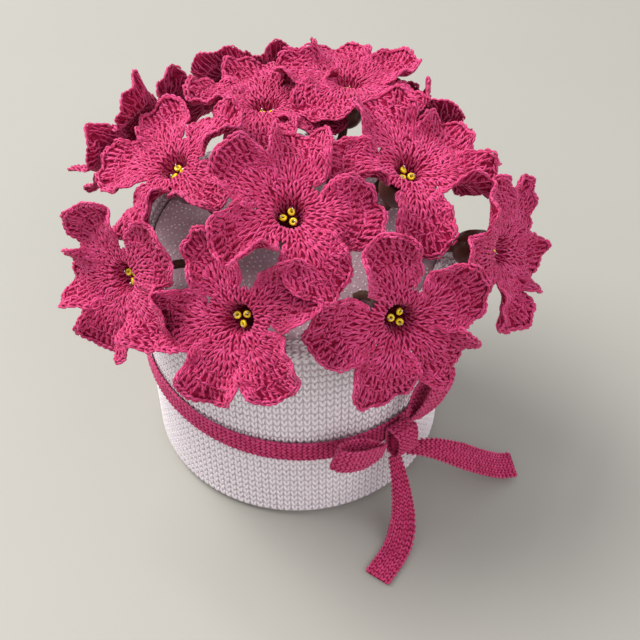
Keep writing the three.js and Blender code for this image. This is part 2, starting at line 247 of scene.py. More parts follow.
@dataclass(frozen=True)
class FoamFinish:
    """Foam painted mauve, as painted shade and pink light bounced from the petals onto pale foam, with
    lighter painted glints at chosen cells.
    """

    name: str
    # The lighter colour of the glints: painted highlight.
    glint_colour: tuple[float, float, float]
    # The foam's mauve: painted shade and pink light bounced from the petals.
    wall: tuple[float, float, float]
    cells: float = 520.0
    clumps: float = 330.0

    def material(self) -> bpy.types.Material:
        """Builds the material."""
        shader = Shader(self.name)
        place = shader.add("ShaderNodeTexCoord").outputs["Object"]
        voronoi = shader.add("ShaderNodeTexVoronoi", {"Vector": place, "Scale": self.cells})
        # Painted highlight: chosen cells get the lighter glint colour towards their middles.
        glint = shader.ramp(voronoi.outputs["Distance"], 0.42, 0.1)
        chosen = shader.ramp(shader.noise(self.clumps, 1.0), 0.5, 0.62)
        colour = shader.mix(shader.math("MULTIPLY", glint, chosen), self.wall, self.glint_colour)
        shader.paint(colour)
        shader.bump(glint, 0.3 * MM, 0.6)
        shader.constant(Roughness=0.55, Specular_IOR_Level=0.4)
        return shader.material


class Tree(NodeWork):
    """A Geometry Nodes tree with named inputs, while it is put together."""

    SOCKETS = {float: "NodeSocketFloat", int: "NodeSocketInt", bpy.types.Material: "NodeSocketMaterial"}

    def __init__(self, name: str) -> None:
        """Starts a tree that takes and gives geometry."""
        self.group = bpy.data.node_groups.new(name, "GeometryNodeTree")
        self.group.interface.new_socket("Geometry", in_out="INPUT", socket_type="NodeSocketGeometry")
        self.group.interface.new_socket("Geometry", in_out="OUTPUT", socket_type="NodeSocketGeometry")
        super().__init__(self.group)
        self.identifiers: dict[str, str] = {}
        self.entry = self.add("NodeGroupInput")
        self.exit = self.add("NodeGroupOutput")

    @property
    def geometry(self) -> bpy.types.NodeSocket:
        """The geometry that comes in."""
        return self.entry.outputs["Geometry"]

    def input(self, name: str, kind: type) -> bpy.types.NodeSocket:
        """Adds a named input of the group."""
        item = self.group.interface.new_socket(name, in_out="INPUT", socket_type=self.SOCKETS[kind])
        self.identifiers[name] = item.identifier
        return self.entry.outputs[name]

    def vector(self, x: object, y: object, z: object) -> bpy.types.NodeSocket:
        """Joins three numbers into a vector."""
        return self.add("ShaderNodeCombineXYZ", {0: x, 1: y, 2: z}).outputs[0]

    def named(self, name: str, kind: str) -> bpy.types.NodeSocket:
        """Reads a named attribute."""
        return self.add("GeometryNodeInputNamedAttribute", {"Name": name}, data_type=kind).outputs[0]

    def store(self, geometry: object, name: str, kind: str, value: object) -> bpy.types.NodeSocket:
        """Stores a named attribute on points."""
        feeds = {"Geometry": geometry, "Name": name, "Value": value}
        return self.add("GeometryNodeStoreNamedAttribute", feeds, data_type=kind).outputs[0]

    def finish(self, geometry: object, material: object) -> None:
        """Shades the geometry smooth, realizes it, gives it its material and sends it out."""
        smooth = self.add("GeometryNodeSetShadeSmooth", {"Geometry": geometry}).outputs[0]
        real = self.add("GeometryNodeRealizeInstances", {"Geometry": smooth}).outputs[0]
        done = self.add("GeometryNodeSetMaterial", {"Geometry": real, "Material": material}).outputs[0]
        self.links.new(done, self.exit.inputs[0])

    def run(self, name: str, mesh: bpy.types.Mesh, values: dict[str, object]) -> bpy.types.Mesh:
        """Evaluates the tree on a mesh.

        Args:
            name: the new mesh's name.
            mesh: the geometry that goes in.
            values: a value for each named input.

        Returns:
            The plain mesh that comes out.
        """
        guide = bpy.data.objects.new(name + "_guide", mesh)
        bpy.context.scene.collection.objects.link(guide)
        modifier = guide.modifiers.new("stitches", "NODES")
        modifier.node_group = self.group
        for key, value in values.items():
            modifier[self.identifiers[key]] = value
        depsgraph = bpy.context.evaluated_depsgraph_get()
        made = bpy.data.meshes.new_from_object(guide.evaluated_get(depsgraph), depsgraph=depsgraph)
        made.name = name
        guide.modifiers.clear()
        bpy.data.objects.remove(guide)
        return made


def grain_of(tree: Tree, sides: int, rings: int, twist: float) -> bpy.types.NodeSocket:
    """A plump grain of yarn of unit radius, which carries its own ply coordinates."""
    sphere = tree.add("GeometryNodeMeshUVSphere", {"Segments": sides, "Rings": rings, "Radius": 1.0})
    place = tree.add("GeometryNodeInputPosition").outputs[0]
    split = tree.add("ShaderNodeSeparateXYZ", {0: place})
    shaped = tree.store(sphere.outputs[0], "ply_around", "FLOAT_VECTOR", place)
    return tree.store(shaped, "ply_along", "FLOAT", tree.math("MULTIPLY", split.outputs[2], twist))


def strand_tree() -> Tree:
    """A tree that lays a round strand of yarn along each line of a guide mesh."""
    tree = Tree("yarn_strands")
    sides = tree.input("Sides", int)
    material = tree.input("Yarn", bpy.types.Material)
    curve = tree.add("GeometryNodeMeshToCurve", {"Mesh": tree.geometry}).outputs[0]
    length = tree.add("GeometryNodeSplineParameter").outputs["Length"]
    curve = tree.store(curve, "ply_along", "FLOAT", length)
    circle = tree.add("GeometryNodeCurvePrimitiveCircle", {"Resolution": sides, "Radius": 1.0}).outputs[0]
    place = tree.add("GeometryNodeInputPosition").outputs[0]
    circle = tree.store(circle, "ply_around", "FLOAT_VECTOR", place)
    girth = tree.named("girth", "FLOAT")
    feeds = {"Curve": curve, "Profile Curve": circle, "Scale": girth, "Fill Caps": True}
    tube = tree.add("GeometryNodeCurveToMesh", feeds).outputs[0]
    tree.finish(tube, material)
    return tree


def stitch_tree() -> Tree:
    """A tree that sets a grain of yarn on each point, turned and sized by the point's attributes."""
    tree = Tree("yarn_stitches")
    sides = tree.input("Sides", int)
    rings = tree.input("Rings", int)
    material = tree.input("Yarn", bpy.types.Material)
    turn = tree.add(
        "FunctionNodeAxesToRotation",
        {0: tree.named("along", "FLOAT_VECTOR"), 1: tree.named("out", "FLOAT_VECTOR")},
        primary_axis="Z",
        secondary_axis="X",
    ).outputs[0]
    feeds = {
        "Points": tree.geometry,
        "Instance": grain_of(tree, sides, rings, 0.8 * MM),
        "Rotation": turn,
        "Scale": tree.named("size", "FLOAT_VECTOR"),
    }
    tree.finish(tree.add("GeometryNodeInstanceOnPoints", feeds).outputs[0], material)
    return tree


def knit_tree() -> Tree:
    """A tree that knits a tube: rows of V stitches, each of two grains, round the Z axis."""
    tree = Tree("knitted_tube")
    columns = tree.input("Columns", int)
    rows = tree.input("Rows", int)
    radius = tree.input("Radius", float)
    foot = tree.input("Foot", float)
    pitch = tree.input("Row pitch", float)
    thick = tree.input("Half thickness", float)
    wide = tree.input("Half width", float)
    long = tree.input("Half length", float)
    tilt = tree.input("Tilt", float)
    seed = tree.input("Seed", int)
    material = tree.input("Yarn", bpy.types.Material)
    count = tree.math("MULTIPLY", tree.math("MULTIPLY", columns, rows), 2.0)
    points = tree.add("GeometryNodePoints", {"Count": count}).outputs[0]
    index = tree.add("GeometryNodeInputIndex").outputs[0]
    leg = tree.math("MODULO", index, 2.0)
    pair = tree.math("FLOOR", tree.math("DIVIDE", index, 2.0))
    column = tree.math("MODULO", pair, columns)
    row = tree.math("FLOOR", tree.math("DIVIDE", tree.math("ADD", pair, 0.5), columns))

    def loose(amount: float, extra: int) -> bpy.types.NodeSocket:
        """A small random number for each grain."""
        feeds = {2: -amount, 3: amount, "ID": index, "Seed": tree.math("ADD", seed, float(extra))}
        return tree.add("FunctionNodeRandomValue", feeds, data_type="FLOAT").outputs[1]

    apart = 0.41
    across = tree.math("MULTIPLY_ADD", leg, apart, (1 - apart) / 2)
    turns = tree.math("DIVIDE", tree.math("ADD", column, tree.math("ADD", across, loose(0.03, 0))), columns)
    angle = tree.math("MULTIPLY", turns, 2 * math.pi)
    level = tree.math("ADD", tree.math("ADD", row, 0.5), loose(0.05, 1))
    height = tree.math("MULTIPLY_ADD", level, pitch, foot)
    x = tree.math("MULTIPLY", radius, tree.math("COSINE", angle))
    y = tree.math("MULTIPLY", radius, tree.math("SINE", angle))
    feeds = {"Geometry": points, "Position": tree.vector(x, y, height)}
    points = tree.add("GeometryNodeSetPosition", feeds).outputs[0]
    points = tree.store(points, "tone", "FLOAT", tree.math("ADD", loose(0.5, 2), 0.5))
    side = tree.math("MULTIPLY_ADD", leg, -2.0, 1.0)
    lean = tree.math("MULTIPLY", side, tree.math("ADD", tilt, loose(0.05, 3)))
    turn = tree.add("FunctionNodeEulerToRotation", {0: tree.vector(lean, 0.0, angle)}).outputs[0]
    feeds = {
        "Points": points,
        "Instance": grain_of(tree, 5, 3, 1.2 * MM),
        "Rotation": turn,
        "Scale": tree.vector(thick, wide, long),
    }
    tree.finish(tree.add("GeometryNodeInstanceOnPoints", feeds).outputs[0], material)
    return tree


class Workshop:
    """What every sub-assembly works with: the node trees and the finishes."""

    def __init__(self) -> None:
        """Builds the trees and the materials once."""
        self.strands = strand_tree()
        self.stitches = stitch_tree()
        self.knit = knit_tree()
        pink = YarnFinish("petal_cotton", (0.82, 0.078, 0.27), (0.62, 0.030, 0.15), (0.22, 0.003, 0.034))
        self.petal = pink.material()
        # The webs are darker than their yarns: painted shade in the gaps between the stitches.
        self.petal_web_shade = ClothFinish("petal_web_shade", (0.30, 0.010, 0.05), (0.15, 0.004, 0.022)).material()
        rose = YarnFinish("ribbon_cotton", (0.74, 0.066, 0.23), (0.57, 0.033, 0.145), (0.28, 0.011, 0.055))
        self.ribbon = rose.material()
        self.ribbon_web_shade = ClothFinish("ribbon_web_shade", (0.36, 0.018, 0.075), (0.20, 0.010, 0.042)).material()
        white = YarnFinish("cover_cotton", (0.97, 0.91, 0.93), (0.93, 0.86, 0.89), (0.80, 0.71, 0.75))
        self.cover = white.material()
        self.cover_web_shade = ClothFinish("cover_web_shade", (0.72, 0.63, 0.67), (0.52, 0.44, 0.48)).material()
        brown = SmoothFinish("calyx_lacquer", (0.125, 0.03, 0.012), (0.07, 0.013, 0.006), 0.38, coat=0.15)
        self.calyx = brown.material()
        paper = SmoothFinish("stem_paper", (0.12, 0.045, 0.02), (0.06, 0.02, 0.01), 0.6, grain=1500.0)
        self.stem = paper.material()
        yellow = SmoothFinish("bead_glass", (0.95, 0.70, 0.008), (0.88, 0.60, 0.005), 0.12, coat=0.6)
        self.bead = yellow.material()
        silver = SmoothFinish("bead_wire", (0.72, 0.70, 0.66), (0.60, 0.58, 0.54), 0.25, metallic=1.0)
        self.wire = silver.material()
        self.tub = SmoothFinish("tub_plastic", (0.80, 0.78, 0.75), (0.74, 0.72, 0.69), 0.45).material()
        # The foam's mauve is painted shade and pink bounce; its lighter spots are painted glints.
        self.foam = FoamFinish("foam_shade_and_glints", (0.74, 0.54, 0.60), (0.50, 0.34, 0.39)).material()
        # The white beads on the foam stand as painted glints.
        glint_bead_finish = SmoothFinish("foam_glint_bead", (0.97, 0.95, 0.95), (0.88, 0.84, 0.85), 0.4)
        self.foam_glint_bead = glint_bead_finish.material()


def mesh_of(name: str, points: np.ndarray, faces: list, material: bpy.types.Material) -> bpy.types.Mesh:
    """Makes a smooth-shaded mesh of one material from points and faces."""
    mesh = bpy.data.meshes.new(name)
    mesh.from_pydata([tuple(point) for point in points], [], [tuple(face) for face in faces])
    mesh.materials.append(material)
    mesh.polygons.foreach_set("use_smooth", [True] * len(mesh.polygons))
    mesh.update()
    return mesh


def lines_of(name: str, strands: np.ndarray, girths: np.ndarray, tones: np.ndarray) -> bpy.types.Mesh:
    """Makes the guide mesh for strands of yarn.

    Args:
        name: the mesh's name.
        strands: points, as strand by point by coordinate.
        girths: the yarn's radius at each point, as strand by point.
        tones: the shade of each strand, from 0 to 1.

    Returns:
        A mesh of separate open lines with girth and tone on its points.
    """
    count, steps = strands.shape[:2]
    mesh = bpy.data.meshes.new(name)
    starts = np.arange(count)[:, None] * steps + np.arange(steps - 1)[None, :]
    edges = np.stack([starts, starts + 1], axis=-1).reshape(-1, 2)
    mesh.from_pydata(strands.reshape(-1, 3).tolist(), edges.tolist(), [])
    for key, values in (("girth", girths.reshape(-1)), ("tone", np.repeat(tones, steps))):
        layer = mesh.attributes.new(key, "FLOAT", "POINT")
        layer.data.foreach_set("value", values.astype(np.float32))
    return mesh


def points_of(name: str, stitches: "Stitches") -> bpy.types.Mesh:
    """Makes the guide mesh for stitches set on points."""
    mesh = bpy.data.meshes.new(name)
    mesh.from_pydata(np.array(stitches.places).tolist(), [], [])
    for key in ("along", "out", "size"):
        layer = mesh.attributes.new(key, "FLOAT_VECTOR", "POINT")
        layer.data.foreach_set("vector", np.array(getattr(stitches, key), np.float32).reshape(-1))
    layer = mesh.attributes.new("tone", "FLOAT", "POINT")
    layer.data.foreach_set("value", np.array(stitches.tones, np.float32))
    return mesh


@dataclass
class Stitches:
    """Grains of yarn waiting to be set: where each lies, how it is turned, its size and shade."""

    places: list = field(default_factory=list)
    along: list = field(default_factory=list)
    out: list = field(default_factory=list)
    size: list = field(default_factory=list)
    tones: list = field(default_factory=list)

    def put(self, place: Vector, along: Vector, out: Vector, size: tuple[float, ...], tone: float) -> None:
        """Adds one grain.

        Args:
            place: its middle.
            along: its long way.
            out: its thickness way.
            size: half its thickness, width and length.
            tone: its shade, from 0 to 1.
        """
        self.places.append(tuple(place))
        self.along.append(tuple(along))
        self.out.append(tuple(out))
        self.size.append(size)
        self.tones.append(tone)


def joined(name: str, meshes: list[bpy.types.Mesh]) -> bpy.types.Object:
    """Joins meshes into one object at the origin, and keeps their materials and attributes."""
    objects = []
    for mesh in meshes:
        made = bpy.data.objects.new(name, mesh)
        bpy.context.scene.collection.objects.link(made)
        objects.append(made)
    if len(objects) > 1:
        with bpy.context.temp_override(
            active_object=objects[0], selected_editable_objects=objects, selected_objects=objects
        ):
            bpy.ops.object.join()
    objects[0].name = name
    objects[0].data.name = name
    return objects[0]


def installed(piece: bpy.types.Object, slot: Slot, *nodes: str) -> bpy.types.Object:
    """Fixes a finished piece to the object, in place of the named nodes, and reports it."""
    if nodes:
        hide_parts(*nodes)
    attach(piece, BODY)
    piece.data.calc_loop_triangles()
    LOG.info("%s: %d triangles", piece.name, len(piece.data.loop_triangles))
    return piece


def turned(profile: list[tuple[float, float]], sides: int) -> tuple[np.ndarray, list]:
    """A body turned round the Z axis.

    Args:
        profile: points of radius and height, from the axis at the bottom, out, and back to the axis.
        sides: how many sides it has.

    Returns:
        Its points and its faces, which point outwards.
    """
    points = [(0.0, 0.0, profile[0][1])]
    rings = profile[1:-1]
    for radius, height in rings:
        for i in range(sides):
            angle = 2 * math.pi * i / sides
            points.append((radius * math.cos(angle), radius * math.sin(angle), height))
    points.append((0.0, 0.0, profile[-1][1]))
    faces = []
    last = len(points) - 1
    for i in range(sides):
        after = (i + 1) % sides
        faces.append((0, 1 + after, 1 + i))
        for r in range(len(rings) - 1):
            low, high = 1 + r * sides, 1 + (r + 1) * sides
            faces.append((low + i, low + after, high + after, high + i))
        top = 1 + (len(rings) - 1) * sides
        faces.append((top + i, top + after, last))
    return np.array(points), faces


def smooth(value: np.ndarray, low: float, high: float) -> np.ndarray:
    """Rises smoothly from 0 at low to 1 at high."""
    share = np.clip((value - low) / (high - low), 0.0, 1.0)
    return share * share * (3.0 - 2.0 * share)


def run_along(points: np.ndarray) -> np.ndarray:
    """How far along a line each of its points is."""
    return np.concatenate([[0.0], np.cumsum(np.linalg.norm(np.diff(points, axis=0), axis=1))])


def spline(points: list[tuple[float, float, float]], count: int) -> np.ndarray:
    """Points spaced along a smooth curve through the given ones (a centripetal Catmull-Rom curve).

    Args:
        points: the points that the curve passes through, in millimetres.
        count: how many points come back, spread evenly over the given ones.

    Returns:
        The points, in metres.
    """
    given = np.array(points, float)
    given = np.vstack([2 * given[0] - given[1], given, 2 * given[-1] - given[-2]])
    result = []
    for share in np.linspace(0.0, len(points) - 1.0, count):
        k = min(int(share), len(points) - 2)
        level = given[k : k + 4]
        knots = np.concatenate([[0.0], np.cumsum(np.sqrt(np.linalg.norm(np.diff(level, axis=0), axis=1)))])
        at = knots[1] + (share - k) * (knots[2] - knots[1])
        for span, first in ((1, 0), (2, 0), (1, 1)):
            low = knots[first : first + len(level) - 1, None]
            high = knots[first + span : first + span + len(level) - 1, None]
            level = ((high - at) * level[:-1] + (at - low) * level[1:]) / (high - low)
        result.append(level[0])
    return np.array(result) * MM


@dataclass(frozen=True)
class Lay:
    """How a strand of a stitch lies between the stitch's foot and its top.

    along runs from 0 at the foot to 1 at the top, side and up are in millimetres, and girth is a
    share of the yarn's radius.
    """

    along: tuple[float, ...]
    side: tuple[float, ...]
    up: tuple[float, ...]
    girth: tuple[float, ...] = (0.7, 1.05, 1.05, 0.7)


V_LEFT = Lay((0.0, 0.35, 0.72, 1.08), (-0.06, -0.34, -0.60, -0.66), (-0.12, 0.36, 0.34, -0.14))
V_RIGHT = Lay((0.0, 0.35, 0.72, 1.08), (0.06, 0.34, 0.60, 0.66), (-0.12, 0.36, 0.34, -0.14))
POST_OVER = Lay((-0.03, 0.32, 0.68, 1.03), (-0.52, -0.30, 0.26, 0.54), (-0.12, 0.34, 0.36, -0.10))
POST_UNDER = Lay((-0.03, 0.32, 0.68, 1.03), (0.50, 0.30, -0.28, -0.54), (-0.10, 0.02, -0.06, -0.14))
WRAP_LOW = Lay((0.16, 0.30, 0.40), (-0.72, 0.0, 0.66), (-0.05, 0.62, -0.05), (0.75, 1.1, 0.75))
WRAP_HIGH = Lay((0.60, 0.70, 0.86), (-0.66, 0.0, 0.72), (-0.05, 0.60, -0.05), (0.75, 1.1, 0.75))
CHAIN = Lay((0.0, 0.55, 1.15), (-0.34, 0.10, 0.40), (-0.1, 0.5, -0.1), (0.75, 1.15, 0.75))
RIM_GIRTH = (0.8, 1.25, 1.25, 0.8)
RIM_IN = Lay((0.0, 0.35, 0.75, 1.15), (0.0, 0.30, 0.42, 0.26), (0.0, 0.62, 0.60, 0.05), RIM_GIRTH)
RIM_OUT = Lay((0.0, 0.35, 0.75, 1.15), (0.0, -0.28, -0.40, -0.26), (-0.05, 0.18, 0.20, -0.1), RIM_GIRTH)
TUBE_LEFT = Lay((0.0, 0.5, 1.05), (-0.1, -0.45, -0.6), (-0.1, 0.3, -0.1), (0.8, 1.1, 0.8))
TUBE_RIGHT = Lay((0.0, 0.5, 1.05), (0.1, 0.45, 0.6), (-0.1, 0.3, -0.1), (0.8, 1.1, 0.8))


@dataclass(frozen=True)
class Row:
    """A row of a petal, from low to high as shares of the way out, with its stitches' pitch in mm."""

    low: float
    high: float
    pitch: float
    lays: tuple[Lay, ...]
    width: float


@dataclass(frozen=True)
class Braid:
    """Chain stitches along a petal at a share of the way out, short of both ends by skip stitches."""

    share: float
    pitch: float
    lays: tuple[Lay, ...]
    skip: int


VEES = (V_LEFT, V_RIGHT)
POSTS = (POST_UNDER, POST_OVER, WRAP_LOW, WRAP_HIGH)
PETAL_ROWS = (
    Row(0.02, 0.18, 1.55, VEES, 0.95),
    Row(0.16, 0.32, 1.6, VEES, 1.0),
    Row(0.30, 0.46, 1.7, VEES, 1.05),
    Braid(0.45, 1.9, (CHAIN,), 2),
    Row(0.44, 0.69, 1.65, POSTS, 0.95),
    Braid(0.68, 2.0, (CHAIN,), 3),
    Row(0.67, 0.93, 1.7, POSTS, 1.0),
    Braid(0.95, 1.6, (RIM_IN, RIM_OUT), 0),
)
TUBE_ROUNDS = ((10, 8.6, 6.2), (12, 6.4, 4.0), (13, 4.2, 1.9), (15, 2.1, 0.0))
THROAT_ROUNDS = ((18, 4.9, 6.9), (23, 6.5, 8.5), (27, 8.1, 9.5))
TUBE_DEPTHS = (9.9, 7.0, 4.0, 2.0, 0.6)


@dataclass
class Basket:
    """Strands of yarn gathered before they are laid, sorted by how many points each has."""

    points: dict[int, list] = field(default_factory=dict)
    girths: dict[int, list] = field(default_factory=dict)
    tones: dict[int, list] = field(default_factory=dict)

    def add(self, points: np.ndarray, girths: np.ndarray, tones: np.ndarray) -> None:
        """Adds strands, as strand by point by coordinate."""
        steps = points.shape[1]
        self.points.setdefault(steps, []).append(points)
        self.girths.setdefault(steps, []).append(girths)
        self.tones.setdefault(steps, []).append(tones)

    def spun(self, name: str, shop: Workshop, sides: dict[int, int], yarn: bpy.types.Material) -> list:
        """Lays the strands as meshes.

        Args:
            name: the meshes' name.
            shop: the trees.
            sides: the strand's sides, by its number of points.
            yarn: the finish.

        Returns:
            One mesh for each number of points.
        """
        meshes = []
        for steps, points in self.points.items():
            lines = [np.concatenate(group) for group in (points, self.girths[steps], self.tones[steps])]
            values = {"Sides": sides[steps], "Yarn": yarn}
            meshes.append(shop.strands.run(name, lines_of(name, *lines), values))
        return meshes


@dataclass(frozen=True)
class Petal:
    """How one petal lies: angles in degrees, sizes in millimetres.

    direction and lift set where it points. left and right are how far its fabric has rolled up by
    either edge, tip is how far its outer half bends up, width is a share of the full width, point
    is how far its tip is drawn out, and ruffle is the height of its waves.
    """

    direction: float
    lift: float
    left: float = 0.0
    right: float = 0.0
    tip: float = 0.0
    width: float = 0.94
    point: float = 0.4
    ruffle: float = 1.3


@dataclass(frozen=True)
class Bloom:
    """Where a flower's throat lies (mm), the way it faces, its reach, its petals and their looseness."""

    at: tuple[float, float, float]
    face: tuple[float, float]
    reach: float
    petals: tuple[Petal, ...]
    loose: float = 1.0


BLOOMS = (
    Bloom((-1, -34, 120), (-72, 25), 25.3, (
        Petal(6, 17, left=-35, right=-20, tip=-18, width=0.90, point=3.0, ruffle=1.2),
        Petal(74, 13, left=35, right=-25, tip=-10, width=0.90, ruffle=1.6),
        Petal(157, 11, left=50, right=55, tip=-4, width=0.96, ruffle=1.0),
        Petal(216, 20, left=40, right=50, tip=6, width=0.90, ruffle=1.5),
        Petal(288, 16, left=85, right=60, tip=14, width=0.90, ruffle=1.4),
    ), 0.3),
    Bloom((-35, -3, 112), (-164, 27), 25.3, (
        Petal(38, 15, left=75, right=-40, tip=-20, width=0.86, point=1.2, ruffle=1.4),
        Petal(110, 10, left=-40, right=85, tip=6, width=0.88, ruffle=1.4),
        Petal(188, 16, left=-20, right=55, tip=4, width=0.92, ruffle=1.6),
        Petal(264, 13, left=60, right=20, tip=16, width=0.84, ruffle=1.5),
        Petal(324, 16, left=20, right=40, tip=0, width=0.92, ruffle=1.4),
    ), 0.3),
    Bloom((33, -10, 115), (-32, 20), 25.8, (
        Petal(24, 24, left=30, right=95, tip=-16, width=0.88, ruffle=1.3),
        Petal(84, 10, left=35, right=35, tip=14, width=0.82, ruffle=1.5),
        Petal(153, 17, left=35, right=20, tip=8, width=1.02, ruffle=1.2),
        Petal(228, 12, left=80, right=35, tip=6, width=0.92, point=1.0, ruffle=1.9),
        Petal(314, 10, left=35, right=30, tip=-34, width=0.86, point=1.2, ruffle=0.9),
    ), 0.3),
    Bloom((-16, -52, 98), (-118, 56), 25.3, (
        Petal(55, 16, left=45, right=40, tip=8, width=0.90, ruffle=1.3),
        Petal(131, 12, left=40, right=60, tip=-6, width=0.88, point=1.5, ruffle=1.5),
        Petal(218, 15, left=70, right=45, tip=6, width=0.78, point=1.6, ruffle=1.4),
        Petal(289, 10, left=50, right=45, tip=12, width=0.88, ruffle=1.2),
        Petal(354, 16, left=35, right=45, tip=4, width=0.92, ruffle=1.5),
    ), 0.3),
    Bloom((28, -52, 96), (-73, 63), 25.3, (
        Petal(41, 15, left=25, right=-30, tip=-20, width=0.90, ruffle=1.6),
        Petal(102, 18, left=35, right=25, tip=-6, width=0.94, ruffle=1.7),
        Petal(185, 14, left=50, right=60, tip=14, width=0.86, point=0.8, ruffle=1.5),
        Petal(268, 14, left=25, right=-15, tip=-8, width=0.86, point=2.8, ruffle=0.9),
        Petal(334, 15, left=-20, right=25, tip=-14, width=0.92, point=0.8, ruffle=1.7),
    ), 0.3),
    Bloom((-49, -31, 94), (-138, 70), 24.8, (
        Petal(6, 16, 30, 20, 8), Petal(79, 18, 20, 45, -8), Petal(144, 14, 40, 20, 6),
        Petal(235, 19, 25, 40, 10), Petal(298, 19, 35, 20, -6),
    )),
    Bloom((60, -23, 94), (-28, 71), 24.3, (
        Petal(42, 18, 25, 30, 6), Petal(104, 15, 30, 20, -6), Petal(186, 19, 20, 40, 8),
        Petal(245, 11, 35, 25, 6), Petal(328, 20, 25, 30, -8),
    )),
    Bloom((-49, 27, 99), (145, 67), 24.8, (
        Petal(27, 14, 30, 25, 8), Petal(99, 15, 25, 35, 6), Petal(171, 16, 50, 30, 12),
        Petal(243, 14, 30, 40, 8), Petal(315, 14, 35, 25, -6),
    )),
    Bloom((-15, 54, 97), (103, 66), 24.3, (
        Petal(5, 14, 30, 25, 6), Petal(77, 14, 25, 40, -6), Petal(149, 14, 40, 30, 8),
        Petal(221, 14, 25, 35, 8), Petal(293, 14, 35, 30, -6),
    )),
    Bloom((18, 30, 117), (58, 13), 24.3, (
        Petal(39, 19, 40, 30, 10), Petal(116, 15, 35, 45, 8), Petal(186, 10, 20, 20, -16, 1.06),
        Petal(259, 12, 30, 20, -10, 1.04), Petal(334, 17, 30, 45, 12),
    )),
    Bloom((-8, 22, 115), (112, 10), 24.8, (
        Petal(63, 25, 40, 35, 8), Petal(156, 9, 25, 15, -20, 1.06), Petal(217, 9, 20, 25, -16, 1.06),
        Petal(291, 8, 30, 35, 6), Petal(352, 20, 40, 30, 10),
    )),
    Bloom((45, 29, 96), (36, 69), 24.3, (
        Petal(48, 14, 30, 25, 8), Petal(120, 14, 25, 35, -6), Petal(199, 17, 35, 30, 10),
        Petal(258, 16, 30, 40, 8), Petal(336, 14, 25, 30, -6),
    )),
)


